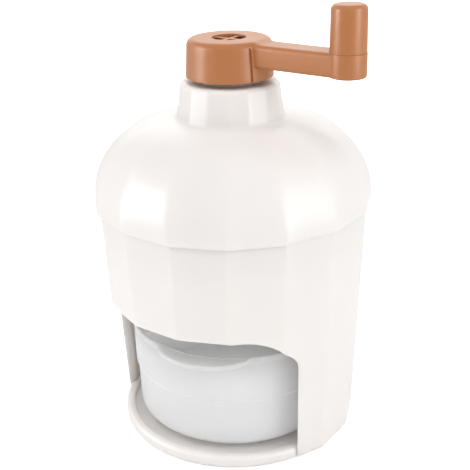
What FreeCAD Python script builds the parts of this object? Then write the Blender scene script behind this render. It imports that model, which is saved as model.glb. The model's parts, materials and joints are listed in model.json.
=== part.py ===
import FreeCAD, Part
import Sketcher
import math
import os
import re

# Hand cranked ice shaver. Millimetres, +Z up, front of the object towards -Y.
# The origin lies on the ground under the axis that the crank turns about.

driving = {
    # clearances
    "playGap": 0.3,  # between pieces that move past each other
    "fitGap": 0.05,  # between a piece and the hole that holds it
    "runGap": 0.06,  # between a shaft and the bore that it turns in
    # faceted body
    "standHeight": 0.8,  # of the body's lower edge over the ground
    "baseRadius": 67.6,  # to a corner of the polygon, at the lower edge
    "seamRadius": 73.0,  # to a corner of the polygon, at the lid's rim
    "seamHeight": 130.2,
    "bodyWall": 2.8,
    "bodyEdgeRound": 1.5,
    "openingInset": 6.8,  # from the flats of the body to the side of the opening, at the foot
    "openingFlare": 2.3,
    "openingHeight": 77.7,
    "openingCorner": 19.0,
    "ledgeWide": 6.6,
    "ledgeDown": 6.2,  # from the lid's rim down to the ledge
    "ledgeThick": 4.0,
    "ledgeSlope": 5.0,
    "trayBossRadius": 3.0,
    "trayBossHeight": 24.0,
    "trayPilotRadius": 1.25,
    "trayScrewAngle": 30.0,
    "trayScrewStepAngle": 60.0,
    # base tray
    "lipInset": 0.7,  # from the flats of the body to the lip
    "lipDrop": 0.4,  # of the lip under the pad that the cup stands on
    "lipWide": 5.0,
    "lipRound": 2.0,
    "trayFloor": 4.2,
    "trayPadRadius": 44.0,
    "trayPadHeight": 7.2,
    "padEdge": 1.2,
    "padRecess": 1.2,
    "trayHeadRadius": 2.3,
    "trayHeadThick": 1.7,
    "trayScrewLength": 14.0,
    # ice chamber
    "chamberInner": 48.0,
    "chamberWall": 2.4,
    "chamberDepth": 40.0,
    "chamberFlange": 2.5,
    "chamberLipRound": 1.0,
    "earRadius": 3.6,
    "earSunk": 1.0,
    "earHeight": 12.0,
    "earAngle": 90.0,
    "earPilotRadius": 1.2,
    "flangeHeadRadius": 2.6,
    "flangeHeadThick": 1.5,
    "flangeScrewRadius": 1.2,
    "flangeScrewLength": 5.0,
    "flangeScrewAngle": 45.0,
    # blade and its plate
    "plateThick": 3.5,
    "bladeTilt": 22.0,
    "bladeProud": 0.5,
    "bladeEdgeBack": 1.5,
    "bladeInset": 4.0,  # of the blade's outer end from the chamber's bore
    "bladeLength": 37.0,
    "bladeWide": 16.0,
    "bladeThick": 1.0,
    "bladeBevel": 1.6,
    "bladeSide": 1.0,
    "slotAhead": 5.0,
    "slotBehind": 3.5,
    "seatStart": 5.0,
    "seatWide": 10.0,
    "seatDrop": 3.2,
    "clampStart": 5.0,
    "clampThick": 1.6,
    "clampScrewOn": 6.0,
    "clampScrewInset": 7.0,
    "clampScrewRadius": 1.4,
    "clampScrewDepth": 2.6,
    "clampHeadRadius": 2.6,
    "clampHeadThick": 1.6,
    "plateHeadRadius": 2.6,
    "plateHeadThick": 1.8,
    "plateScrewLength": 9.0,
    # lid
    "rimOver": 1.0,  # beyond the body's corners
    "domeOver": 2.2,
    "rimHeight": 2.0,
    "rimRound": 0.7,
    "domeHeight": 44.9,
    "domeArc": 42.5,
    "domeWall": 2.5,
    "domeRoof": 3.0,
    "webThick": 2.2,
    "spigotLong": 3.3,
    "spigotWall": 2.2,
    "neckRadius": 25.8,  # at its top
    "neckFlare": 2.5,
    "neckHeight": 19.1,
    "neckRound": 2.2,
    "neckFillet": 3.3,
    "neckWall": 2.1,
    "neckPlate": 3.6,
    # neck bush
    "bushWall": 3.44,
    "bushFlangeOut": 4.5,
    "bushFlangeThick": 1.3,
    "bushBelow": 2.6,
    "bushSnap": 0.8,
    # drive tube and what holds it
    "tubeRadius": 9.5,
    "tubeWall": 2.3,
    "tubeInto": 12.2,
    "driveLong": 8.0,
    "clipThick": 1.0,
    "clipDepth": 0.8,
    "clipWide": 3.2,
    "clipMouth": 6.0,
    "washerThick": 0.9,
    "seatThick": 1.2,
    "seatRim": 3.0,
    "crossPinRadius": 1.5,
    "crossPinUp": 7.2,
    # crank
    "hubRadius": 22.7,
    "hubTaper": 1.1,
    "hubLift": 0.8,
    "hubHeight": 19.6,
    "hubRound": 3.4,
    "hubWall": 2.6,
    "hubRoof": 4.6,
    "hubBossWall": 5.45,
    "hubEdgeRound": 0.6,
    "recessRadius": 8.7,
    "recessDepth": 0.8,
    "ribHalf": 1.0,
    "pocketInset": 1.3,
    "pocketFlat": 0.4,
    "pocketDepth": 5.4,
    "armLength": 68.5,
    "armRootStart": 12.0,
    "armRootHalf": 8.1,
    "armEndHalf": 7.7,
    "armLift": 7.0,
    "armThick": 11.5,
    "armRound": 2.0,
    "armBossRadius": 9.0,
    "creaseWide": 1.5,
    "creaseDepth": 1.3,
    "creaseOff": 0.7,
    "channelFrom": 4.3,  # from the hub's side
    "channelTo": 2.5,  # from the grip boss
    "channelHalf": 5.0,
    "armRoof": 3.0,
    "channelRib": 2.0,
    "channelRound": 1.5,
    # grip
    "gripStep": 0.15,
    "gripTaper": 0.35,
    "gripLength": 21.9,
    "gripRound": 2.6,
    "gripPinRadius": 3.5,
    "gripPinHeadOut": 1.5,
    "gripPinHeadThick": 1.6,
    "gripSnapUp": 13.6,
    "gripSnapOut": 0.7,
    "gripSnapLong": 2.6,
    # presser
    "presserAside": 4.4,  # from the chamber's bore
    "presserThick": 3.6,
    "presserOver": 6.4,  # over the chamber's floor, at rest
    "presserTravel": 38.0,
    "presserRimWall": 2.5,
    "presserRimHeight": 3.0,
    "presserBossRadius": 9.0,
    "presserBossHeight": 5.5,
    "presserRibHalf": 1.0,
    "presserRibStart": 16.0,
    "presserRibAngle": 15.0,
    "stemAcross": 10.0,
    "stemFoot": 8.0,
    "stemFootThick": 1.6,
    "stemWasherThick": 1.2,
    "stemHeadRadius": 3.6,
    "stemHeadThick": 2.6,
    "stemScrewRadius": 1.5,
    "stemScrewLength": 12.0,
    "stemPinRadius": 1.0,
    "stemPinUp": 2.6,
    "spikeRadius": 1.3,
    "spikeTipRadius": 0.35,
    "spikeShaft": 2.2,
    "spikeTip": 2.4,
    "spikeSunk": 2.6,
    "spikeRingOuter": 36.0,
    "spikeRingInner": 22.0,
    "spikeAngle": 30.0,
    # spring
    "springGap": 2.2,
    "springWire": 0.9,
    "springTurns": 14.0,
    # ice cup
    "cupBack": -0.5,
    "cupHeight": 56.0,
    "cupWall": 1.6,
    "cupBaseRadius": 56.0,
    "cupLowerFlare": 0.6,
    "cupStepUp": 28.3,
    "cupStepOut": 1.0,
    "cupUpperFlare": 0.3,
    "cupCorner": 4.5,
    "cupRimOut": 0.8,
    "cupRimHeight": 1.8,
    "tabAngle": 17.1,
    "tabRadius": 31.5,
    "tabReach": 8.3,
    "tabThick": 2.8,
    "tabDrop": 0.6,
}

counts = {
    "sideCount": 16,
    "trayScrewCount": 3,
    "flangeScrewCount": 4,
    "earCount": 3,
    "presserRibCount": 6,
    "spikeCount": 6,
}

# Sizes that follow from the driving ones.
derived = {
    "flat": "cos(180 / sideCount)",
    "bodyTop": "seamHeight - playGap",
    "flareSlope": "(seamRadius - baseRadius) / (bodyTop - standHeight)",
    "openingHalfBottom": "baseRadius * flat - openingInset",
    "openingHalfTop": "openingHalfBottom + openingFlare",
    "ledgeTop": "seamHeight - ledgeDown",
    "ledgeBottom": "ledgeTop - ledgeThick",
    "ledgeWall": "(baseRadius + flareSlope * (ledgeTop - standHeight)) * flat - bodyWall",
    "ledgeInner": "ledgeWall - ledgeWide",
    "trayRadius": "baseRadius * flat - bodyWall - 4 * fitGap",
    "trayBossRing": "baseRadius * flat - bodyWall - trayBossRadius - playGap",
    "lipRadius": "baseRadius * flat - lipInset",
    "lipHeight": "trayPadHeight - lipDrop",
    "padRadius": "trayBossRing - trayHeadRadius - padEdge",
    "chamberFloor": "ledgeTop - chamberDepth",
    "chamberOuter": "chamberInner + chamberWall",
    "chamberTop": "ledgeTop + chamberFlange",
    "earRing": "chamberOuter + earRadius - earSunk",
    "flangeScrewRing": "ledgeInner + flangeHeadRadius",
    "plateBottom": "chamberFloor - plateThick",
    "bladeHeight": "chamberFloor + bladeProud",
    "bladeStart": "bladeInset - chamberInner",
    "clampScrewAt": "clampStart + clampScrewOn",
    "rimRadius": "seamRadius + rimOver",
    "domeRadius": "seamRadius + domeOver",
    "domeTop": "seamHeight + domeHeight",
    "spigotBottom": "seamHeight - spigotLong",
    "domeInner": "domeRadius * flat - domeWall",
    "neckTop": "domeTop + neckHeight",
    "neckInner": "neckRadius * flat - neckWall",
    "plateUnder": "neckTop - neckPlate",
    "bushBore": "tubeRadius + runGap",
    "bushRadius": "bushBore + bushWall",
    "bushFlange": "bushRadius + bushFlangeOut",
    "bushBottom": "plateUnder - bushBelow",
    "bushTop": "neckTop + bushFlangeThick",
    "washerTop": "bushBottom - playGap",
    "washerBottom": "washerTop - washerThick",
    "clipBottom": "washerBottom - clipThick",
    "springTop": "clipBottom - seatThick",
    "springRadius": "tubeRadius + springWire + springGap",
    "seatRadius": "springRadius + springWire + seatRim",
    "bossBottom": "bushTop + playGap",
    "tubeTop": "bossBottom + tubeInto",
    "tubeBore": "tubeRadius - tubeWall",
    "tubeBottom": "presserTop + presserBossHeight + presserTravel + playGap",
    "crossPinHeight": "bossBottom + crossPinUp",
    "hubBottom": "bossBottom + hubLift",
    "hubTop": "hubBottom + hubHeight",
    "hubTopRadius": "hubRadius - hubTaper",
    "hubBossRadius": "tubeRadius + fitGap + hubBossWall",
    "recessFloor": "hubTop - recessDepth",
    "hubInner": "hubTopRadius - hubWall",
    "hollowTop": "hubTop - hubRoof",
    "pocketReach": "recessRadius - pocketInset",
    "pocketRound": "pocketReach - ribHalf - pocketFlat",
    "armBottom": "hubBottom + armLift",
    "armTop": "armBottom + armThick",
    "creaseStart": "armRootHalf + creaseOff",
    "creaseEnd": "creaseStart + creaseWide",
    "channelStart": "hubRadius + channelFrom",
    "channelEnd": "armLength - armBossRadius - channelTo",
    "channelDepth": "armThick - armRoof",
    "gripBottom": "armTop + playGap",
    "gripTop": "gripBottom + gripLength",
    "gripRadius": "armBossRadius - gripStep",
    "gripTopRadius": "gripRadius - gripTaper",
    "gripPinHead": "gripPinRadius + gripPinHeadOut",
    "gripSnapHeight": "gripBottom + gripSnapUp",
    "gripSnapRadius": "gripPinRadius + gripSnapOut",
    "driveTop": "tubeBottom + driveLong",
    "presserRadius": "chamberInner - presserAside",
    "presserHeight": "chamberFloor + presserOver",
    "presserTop": "presserHeight + presserThick",
    "stemTop": "driveTop + playGap",
    "stemWasherRadius": "tubeBore - playGap",
    "spikeBottom": "presserHeight - spikeShaft",
    "cupBottom": "trayPadHeight + playGap",
    "cupTop": "cupBottom + cupHeight",
    "cupStepHeight": "cupBottom + cupStepUp",
    "cupStepRadius": "cupBaseRadius + cupLowerFlare",
    "cupTopRadius": "cupStepRadius + cupStepOut + cupUpperFlare",
    "cupSpring": "cupTopRadius - cupWall",
    "tabOffset": "cupTopRadius + cupRimOut + tabReach - tabRadius",
}

doc = FreeCAD.newDocument("IceShaver")
sheet = doc.addObject("Spreadsheet::Sheet", "Sizes")
for row, (alias, value) in enumerate({**counts, **driving}.items(), start=1):
    sheet.set(f"A{row}", alias)
    sheet.set(f"B{row}", str(value))
    sheet.setAlias(f"B{row}", alias)
doc.recompute()


def expand(text):
    """Put the sheet's name before each driving size, and each derived size in full."""

    def swap(match):
        word = match.group()
        if word in driving or word in counts:
            return "Sizes." + word
        if word in derived:
            return "(" + expand(derived[word]) + ")"
        return word

    return re.sub(r"[A-Za-z_]\w*", swap, text)


def number(text):
    return float(sheet.evalExpression(expand(text)))


def bind(item, prop, text):
    item.setExpression(prop, expand(text))


def cornerRadiusAt(height):
    """Radius to a corner of the faceted body at this height."""
    return f"(baseRadius + flareSlope * ({height} - standHeight))"


def innerAt(height):
    """Radius of the body's round inner wall at this height."""
    return f"({cornerRadiusAt(height)} * flat - bodyWall)"


def ringSpots(count, radius, start="0", step=None):
    """Centres on a circle as pairs of texts, spread evenly where no step is named."""
    total = int(counts[count])
    step = step or f"360 / {count}"
    spots = []
    for index in range(total):
        angle = f"({start} + {step} * {index})"
        spots.append((f"{radius} * cos({angle})", f"{radius} * sin({angle})"))
    return spots


def newBody(label):
    body = doc.addObject("PartDesign::Body", label)
    body.Label = label
    body.AllowCompound = True
    return body


def newSketch(body, name, role, height="0"):
    """An empty sketch on one of the body's own origin planes, raised along its normal."""
    sketch = body.newObject("Sketcher::SketchObject", name)
    plane = next(item for item in body.Origin.OriginFeatures if item.Role == role)
    sketch.AttachmentSupport = [(plane, "")]
    sketch.MapMode = "FlatFace"
    bind(sketch, ".AttachmentOffset.Base.z", height)
    return sketch


def holdPoint(sketch, held, spot, texts):
    """Tie a point of the sketch to its two distances from the sketch's origin."""
    rules = (("DistanceX", texts[0], -2, spot.x), ("DistanceY", texts[1], -1, spot.y))
    for kind, text, axis, value in rules:
        if text == "0":
            sketch.addConstraint(Sketcher.Constraint("PointOnObject", held[0], held[1], axis))
        else:
            row = sketch.addConstraint(Sketcher.Constraint(kind, -1, 1, held[0], held[1], value))
            bind(sketch, f"Constraints[{row}]", text)


def addLoop(sketch, corners):
    """A closed outline. A corner is two texts, and a third where the corner is rounded."""
    total = len(corners)
    spots = [FreeCAD.Vector(number(c[0]), number(c[1]), 0) for c in corners]
    arrive = []
    leave = []
    arcs = []
    for index, corner in enumerate(corners):
        back = (spots[index - 1] - spots[index]).normalize()
        ahead = (spots[(index + 1) % total] - spots[index]).normalize()
        radius = number(corner[2]) if len(corner) > 2 else 0.0
        half = back.getAngle(ahead) / 2
        reach = radius / math.tan(half) if radius else 0.0
        arrive.append(spots[index] + back * reach)
        leave.append(spots[index] + ahead * reach)
        arcs.append(None)
        if radius:
            centre = spots[index] + (back + ahead).normalize() * (radius / math.sin(half))
            leftTurn = ahead.cross(back).z > 0
            ends = (arrive[index], leave[index]) if leftTurn else (leave[index], arrive[index])
            angles = [math.atan2(end.y - centre.y, end.x - centre.x) for end in ends]
            circle = Part.Circle(centre, FreeCAD.Vector(0, 0, 1), radius)
            arcs[index] = (Part.ArcOfCircle(circle, angles[0], angles[1]), 1 if leftTurn else 2)
    first = sketch.GeometryCount
    for index in range(total):
        line = Part.LineSegment(leave[index], arrive[(index + 1) % total])
        sketch.addGeometry(line, False)
    for index, corner in enumerate(corners):
        before = first + (index - 1) % total
        after = first + index
        if arcs[index] is None:
            sketch.addConstraint(Sketcher.Constraint("Coincident", before, 2, after, 1))
            holdPoint(sketch, (after, 1), spots[index], corner)
            continue
        arc = sketch.addGeometry(arcs[index][0], False)
        start = arcs[index][1]
        sketch.addConstraint(Sketcher.Constraint("Tangent", before, 2, arc, start))
        sketch.addConstraint(Sketcher.Constraint("Tangent", after, 1, arc, 3 - start))
        row = sketch.addConstraint(Sketcher.Constraint("Radius", arc, number(corner[2])))
        bind(sketch, f"Constraints[{row}]", corner[2])
        point = sketch.addGeometry(Part.Point(spots[index]), True)
        sketch.addConstraint(Sketcher.Constraint("PointOnObject", point, 1, before))
        sketch.addConstraint(Sketcher.Constraint("PointOnObject", point, 1, after))
        holdPoint(sketch, (point, 1), spots[index], corner)


def addCircles(sketch, spots, radius):
    for spot in spots:
        centre = FreeCAD.Vector(number(spot[0]), number(spot[1]), 0)
        normal = FreeCAD.Vector(0, 0, 1)
        circle = sketch.addGeometry(Part.Circle(centre, normal, number(radius)), False)
        row = sketch.addConstraint(Sketcher.Constraint("Radius", circle, number(radius)))
        bind(sketch, f"Constraints[{row}]", radius)
        holdPoint(sketch, (circle, 3), centre, spot)


def turn(body, name, corners, cut=False):
    """Revolve an outline in the XZ plane about Z, or cut it away."""
    sketch = newSketch(body, name + "Sketch", "XZ_Plane")
    addLoop(sketch, corners)
    kind = "PartDesign::Groove" if cut else "PartDesign::Revolution"
    feature = body.newObject(kind, name)
    feature.Profile = sketch
    feature.ReferenceAxis = (sketch, ["V_Axis"])
    feature.Angle = 360
    return feature


def extrude(body, name, sketch, length, cut=False, back=False, middle=False):
    """Pad a sketch along its normal, or cut a pocket the same way."""
    kind = "PartDesign::Pocket" if cut else "PartDesign::Pad"
    feature = body.newObject(kind, name)
    feature.Profile = sketch
    bind(feature, "Length", length)
    feature.Reversed = back != cut
    if middle:
        feature.Midplane = True
    return feature


def posts(body, name, spots, radius, bottom, length, cut=False, back=False):
    """Round posts that rise from a height, or holes of the same form."""
    sketch = newSketch(body, name + "Sketch", "XY_Plane", bottom)
    addCircles(sketch, spots, radius)
    return extrude(body, name, sketch, length, cut, back)


def blocks(body, name, loops, bottom, length, cut=False):
    """Upright prisms over outlines in the XY plane, or pockets of the same form."""
    sketch = newSketch(body, name + "Sketch", "XY_Plane", bottom)
    for corners in loops:
        addLoop(sketch, corners)
    return extrude(body, name, sketch, length, cut)


def crossHole(body, name, radius, height, length):
    """A round hole along Y, centred on the axis."""
    sketch = newSketch(body, name + "Sketch", "XZ_Plane")
    addCircles(sketch, [("0", height)], radius)
    return extrude(body, name, sketch, length, cut=True, middle=True)


def hexagon(across):
    """Corners of a hexagon whose flats lie this far apart."""
    corners = []
    for index in range(6):
        angle = f"({index} * 60)"
        reach = f"({across} / 2 / cos(30))"
        corners.append((f"{reach} * cos({angle})", f"{reach} * sin({angle})"))
    return corners


def box(corner, size):
    """A rectangle from its lower corner and its two sides, as four corners."""
    right = f"({corner[0]}) + ({size[0]})"
    top = f"({corner[1]}) + ({size[1]})"
    return [(corner[0], corner[1]), (right, corner[1]), (right, top), (corner[0], top)]


def place(item, x="0", y="0", z="0", tilt=None):
    """Move a piece by its Placement, and tilt it about X where asked."""
    if tilt is not None:
        item.Placement = FreeCAD.Placement(FreeCAD.Vector(), FreeCAD.Rotation(FreeCAD.Vector(1, 0, 0), 0))
        bind(item, ".Placement.Rotation.Angle", tilt)
    bind(item, ".Placement.Base.x", x)
    bind(item, ".Placement.Base.y", y)
    bind(item, ".Placement.Base.z", z)


def combine(kind, label, items):
    result = doc.addObject(kind, label)
    result.Label = label
    if kind == "Part::Cut":
        result.Base = items[0]
        result.Tool = items[1]
    else:
        result.Shapes = items
    return result


def faceted(label, halfOutline):
    """Solid whose level slices are all regular polygons.

    One symmetric slab per pair of sides is cut from the outline. The slabs,
    turned about Z by one side each, are reduced to what they share.
    """
    slab = newBody(label + "Slab")
    sketch = newSketch(slab, label + "Outline", "XZ_Plane")
    left = [("-(" + corner[0] + ")",) + tuple(corner[1:]) for corner in reversed(halfOutline)]
    addLoop(sketch, list(halfOutline) + left)
    extrude(slab, label + "Pad", sketch, "4 * domeRadius", middle=True)
    doc.recompute()
    turned = [slab]
    for index in range(1, counts["sideCount"] // 2):
        link = doc.addObject("App::Link", f"{label}Slab{index}")
        link.LinkedObject = slab
        axis = FreeCAD.Vector(0, 0, 1)
        link.Placement = FreeCAD.Placement(FreeCAD.Vector(), FreeCAD.Rotation(axis, 0))
        bind(link, ".Placement.Rotation.Angle", f"360 / sideCount * {index}")
        turned.append(link)
    return combine("Part::MultiCommon", label, turned)


# Body shell: faceted outside, round inside, open below and at the front.

def traySpots(ring="trayBossRing"):
    """Tray screws stand in the rear half, where the wall runs down to the tray."""
    return ringSpots("trayScrewCount", ring, "trayScrewAngle", "trayScrewStepAngle")


def makeBodyShell():
    outer = faceted("shellOuter", [
        ("baseRadius * flat", "standHeight", "bodyEdgeRound"),
        ("seamRadius * flat", "bodyTop"),
    ])
    cavity = newBody("shellCavity")
    turn(cavity, "cavity", [
        ("0", "standHeight - 1"),
        (innerAt("(standHeight - 1)"), "standHeight - 1"),
        (innerAt("(bodyTop + 1)"), "bodyTop + 1"),
        ("0", "bodyTop + 1"),
    ])
    opening = newBody("shellOpening")
    sketch = newSketch(opening, "openingSketch", "XZ_Plane")
    addLoop(sketch, [
        ("openingHalfBottom", "-1"),
        ("openingHalfTop", "openingHeight", "openingCorner"),
        ("-openingHalfTop", "openingHeight", "openingCorner"),
        ("-openingHalfBottom", "-1"),
    ])
    extrude(opening, "openingPad", sketch, "2 * seamRadius")
    fittings = newBody("shellFittings")
    turn(fittings, "ledge", [
        ("ledgeInner", "ledgeBottom"),
        (innerAt("(ledgeBottom - ledgeSlope)") + " + bodyWall / 3", "ledgeBottom - ledgeSlope"),
        (innerAt("ledgeTop") + " + bodyWall / 3", "ledgeTop"),
        ("ledgeInner", "ledgeTop"),
    ])
    bossSpots = traySpots()
    wallSpots = traySpots("(trayBossRing + trayBossRadius / 2)")
    bossLength = "trayBossHeight - trayFloor"
    posts(fittings, "trayBosses", bossSpots, "trayBossRadius", "trayFloor", bossLength)
    posts(fittings, "bossBacks", wallSpots, "trayBossRadius * 0.9", "trayFloor", bossLength)
    posts(fittings, "trayPilots", bossSpots, "trayPilotRadius", "trayFloor", "trayScrewLength + 1", cut=True)
    flangeSpots = ringSpots("flangeScrewCount", "flangeScrewRing", "flangeScrewAngle")
    posts(fittings, "flangePilots", flangeSpots, "flangeScrewRadius + fitGap",
          "ledgeTop - flangeScrewLength", "flangeScrewLength", cut=True)
    wall = combine("Part::Cut", "shellWall", [outer, cavity])
    cut = combine("Part::Cut", "shellCut", [wall, opening])
    return combine("Part::MultiFuse", "body_shell", [cut, fittings])


def makeBaseTray():
    blank = newBody("trayBlank")
    turn(blank, "trayForm", [
        ("0", "standHeight"),
        ("lipRadius", "standHeight", "lipRound / 2"),
        ("lipRadius", "lipHeight", "lipRound"),
        ("lipRadius - lipWide", "lipHeight", "lipRound / 2"),
        ("lipRadius - lipWide", "trayFloor"),
        ("trayPadRadius", "trayFloor"),
        ("trayPadRadius", "trayPadHeight"),
        ("0", "trayPadHeight"),
    ])
    spots = traySpots()
    posts(blank, "trayHoles", spots, "trayPilotRadius + 4 * fitGap", "0", "lipHeight", cut=True)
    posts(blank, "headHoles", spots, "trayHeadRadius + 4 * fitGap", "0",
          "standHeight + trayHeadThick + fitGap", cut=True)
    posts(blank, "padSink", [("0", "0")], "padRadius + fitGap", "0", "standHeight + padRecess", cut=True)
    relief = newBody("trayRelief")
    turn(relief, "reliefRing", [
        ("trayRadius", "0"),
        ("lipRadius + lipWide", "0"),
        ("lipRadius + lipWide", "2 * lipHeight"),
        ("trayRadius", "2 * lipHeight"),
    ])
    blocks(relief, "reliefFront", [
        box(("-(openingHalfBottom - playGap)", "-2 * lipRadius"),
            ("2 * (openingHalfBottom - playGap)", "2 * lipRadius")),
    ], "-1", "4 * lipHeight", cut=True)
    bossRelief = newBody("bossRelief")
    posts(bossRelief, "bossClear", spots, "trayBossRadius + playGap", "trayFloor", "2 * lipHeight")
    posts(bossRelief, "backClear", traySpots("(trayBossRing + trayBossRadius / 2)"),
          "trayBossRadius + playGap", "trayFloor", "2 * lipHeight")
    trimmed = combine("Part::Cut", "trayTrimmed", [blank, relief])
    return combine("Part::Cut", "base_tray", [trimmed, bossRelief])


def makeFootPad():
    body = newBody("foot_pad")
    turn(body, "padForm", [
        ("0", "0"),
        ("padRadius", "0", "standHeight / 2"),
        ("padRadius", "standHeight + padRecess"),
        ("0", "standHeight + padRecess"),
    ])
    return body


def makeTrayScrews():
    body = newBody("tray_screws")
    spots = traySpots()
    posts(body, "trayHeads", spots, "trayHeadRadius", "standHeight", "trayHeadThick")
    posts(body, "trayShanks", spots, "trayPilotRadius - fitGap", "standHeight + trayHeadThick",
          "trayScrewLength")
    return body


def makeIceChamber():
    body = newBody("ice_chamber")
    turn(body, "chamberForm", [
        ("chamberInner", "chamberFloor"),
        ("chamberOuter", "chamberFloor"),
        ("chamberOuter", "ledgeTop"),
        (innerAt("ledgeTop") + " - playGap", "ledgeTop"),
        (innerAt("ledgeTop") + " - playGap", "chamberTop", "chamberLipRound / 2"),
        ("chamberInner", "chamberTop", "chamberLipRound"),
    ])
    ears = ringSpots("earCount", "earRing", "earAngle")
    posts(body, "chamberEars", ears, "earRadius", "chamberFloor", "earHeight")
    turn(body, "chamberBore", [
        ("0", "chamberFloor - 1"),
        ("chamberInner", "chamberFloor - 1"),
        ("chamberInner", "ledgeTop"),
        ("0", "ledgeTop"),
    ], cut=True)
    posts(body, "earPilots", ears, "earPilotRadius + fitGap", "chamberFloor", "plateScrewLength + 1",
          cut=True)
    flange = ringSpots("flangeScrewCount", "flangeScrewRing", "flangeScrewAngle")
    posts(body, "flangeHoles", flange, "flangeScrewRadius + 3 * fitGap", "ledgeTop", "chamberFlange",
          cut=True)
    posts(body, "flangeSinks", flange, "flangeHeadRadius + 3 * fitGap",
          "chamberTop - flangeHeadThick", "chamberFlange", cut=True)
    return body


def makeChamberScrews():
    body = newBody("chamber_screws")
    spots = ringSpots("flangeScrewCount", "flangeScrewRing", "flangeScrewAngle")
    head = "chamberTop - flangeHeadThick"
    posts(body, "flangeHeads", spots, "flangeHeadRadius", head, "flangeHeadThick - fitGap")
    shank = "chamberFlange - flangeHeadThick + flangeScrewLength"
    posts(body, "flangeShanks", spots, "flangeScrewRadius", head, shank, back=True)
    return body


def bladeFrame(item):
    """Place a piece whose own frame has the cutting edge along X at its origin."""
    place(item, y="-bladeEdgeBack", z="bladeHeight", tilt="-bladeTilt")


def clampSpots():
    return [
        ("bladeStart + clampScrewInset", "clampScrewAt"),
        ("bladeStart + bladeLength - clampScrewInset", "clampScrewAt"),
    ]


def makeBladePlate():
    blank = newBody("plateBlank")
    posts(blank, "plateDisc", [("0", "0")], "chamberOuter", "plateBottom", "plateThick")
    ears = ringSpots("earCount", "earRing", "earAngle")
    posts(blank, "plateEars", ears, "earRadius", "plateBottom", "plateThick")
    blocks(blank, "bladeSeat", [
        box(("bladeStart - 2 * bladeSide", "seatStart"),
            ("bladeLength + 4 * bladeSide", "seatWide")),
    ], "plateBottom - seatDrop", "seatDrop")
    posts(blank, "plateHoles", ears, "earPilotRadius + 4 * fitGap", "plateBottom", "plateThick", cut=True)
    blocks(blank, "slot", [
        box(("bladeStart - bladeSide", "-bladeEdgeBack - slotAhead"),
            ("bladeLength + 2 * bladeSide", "slotAhead + slotBehind")),
    ], "plateBottom", "plateThick", cut=True)
    wedge = newBody("plateWedge")
    sketch = newSketch(wedge, "wedgeSketch", "XY_Plane")
    addLoop(sketch, box(("bladeStart - bladeSide", "-1"), ("bladeLength + 2 * bladeSide", "2 * bladeWide")))
    extrude(wedge, "wedgePad", sketch, "2 * seatWide", back=True)
    posts(wedge, "clampPilots", clampSpots(), "clampScrewRadius + fitGap", "0", "clampScrewDepth + fitGap")
    bladeFrame(wedge)
    return combine("Part::Cut", "blade_plate", [blank, wedge])


def makeBlade():
    body = newBody("blade")
    sketch = newSketch(body, "bladeSketch", "YZ_Plane", "bladeStart")
    addLoop(sketch, [
        ("0", "0"),
        ("bladeWide", "0"),
        ("bladeWide", "-bladeThick"),
        ("bladeBevel", "-bladeThick"),
    ])
    extrude(body, "bladePad", sketch, "bladeLength")
    posts(body, "bladeHoles", clampSpots(), "clampScrewRadius + 3 * fitGap", "-2 * bladeThick",
          "3 * bladeThick", cut=True)
    bladeFrame(body)
    return body


def makeBladeClamp():
    body = newBody("blade_clamp")
    under = "-bladeThick - clampThick"
    blocks(body, "clampPad", [
        box(("bladeStart", "clampStart"), ("bladeLength", "bladeWide - clampStart")),
    ], under, "clampThick")
    posts(body, "clampHoles", clampSpots(), "clampScrewRadius + 3 * fitGap", under, "clampThick", cut=True)
    bladeFrame(body)
    return body


def makeBladeScrews():
    body = newBody("blade_screws")
    under = "-bladeThick - clampThick"
    posts(body, "clampHeads", clampSpots(), "clampHeadRadius", under, "clampHeadThick", back=True)
    posts(body, "clampShanks", clampSpots(), "clampScrewRadius", under,
          "bladeThick + clampThick + clampScrewDepth")
    bladeFrame(body)
    return body


def makePlateScrews():
    body = newBody("plate_screws")
    spots = ringSpots("earCount", "earRing", "earAngle")
    posts(body, "plateHeads", spots, "plateHeadRadius", "plateBottom", "plateHeadThick", back=True)
    posts(body, "plateShanks", spots, "earPilotRadius", "plateBottom", "plateThick + plateScrewLength")
    return body


# Lid: faceted dome and neck with a round hollow, and a spigot that enters the body.

def makeDomeCover():
    outer = faceted("domeOuter", [
        ("rimRadius * flat", "seamHeight", "rimRound"),
        ("domeRadius * flat", "seamHeight + rimHeight", "rimHeight / 2"),
        ("domeRadius * flat", "domeTop", "domeArc"),
        ("(neckRadius + neckFlare) * flat", "domeTop", "neckFillet"),
        ("neckRadius * flat", "neckTop", "neckRound"),
    ])
    cavity = newBody("domeCavity")
    spigotOuter = innerAt("spigotBottom") + " - playGap"
    turn(cavity, "domeHollow", [
        ("0", "seamHeight - 1"),
        (spigotOuter + " - spigotWall", "seamHeight - 1"),
        (spigotOuter + " - spigotWall", "seamHeight + webThick"),
        ("domeInner", "seamHeight + webThick"),
        ("domeInner", "domeTop - domeRoof", "domeArc - domeRoof"),
        ("neckInner", "domeTop - domeRoof"),
        ("neckInner", "plateUnder"),
        ("0", "plateUnder"),
    ])
    posts(cavity, "bushHole", [("0", "0")], "bushRadius + fitGap", "plateUnder", "neckPlate + 1")
    spigot = newBody("domeSpigot")
    turn(spigot, "spigotRing", [
        (spigotOuter + " - spigotWall", "spigotBottom"),
        (spigotOuter, "spigotBottom", "spigotWall / 4"),
        (spigotOuter, "seamHeight + webThick / 2"),
        (spigotOuter + " - spigotWall", "seamHeight + webThick / 2"),
    ])
    shell = combine("Part::Cut", "domeShell", [outer, cavity])
    return combine("Part::MultiFuse", "dome_cover", [shell, spigot])


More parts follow.
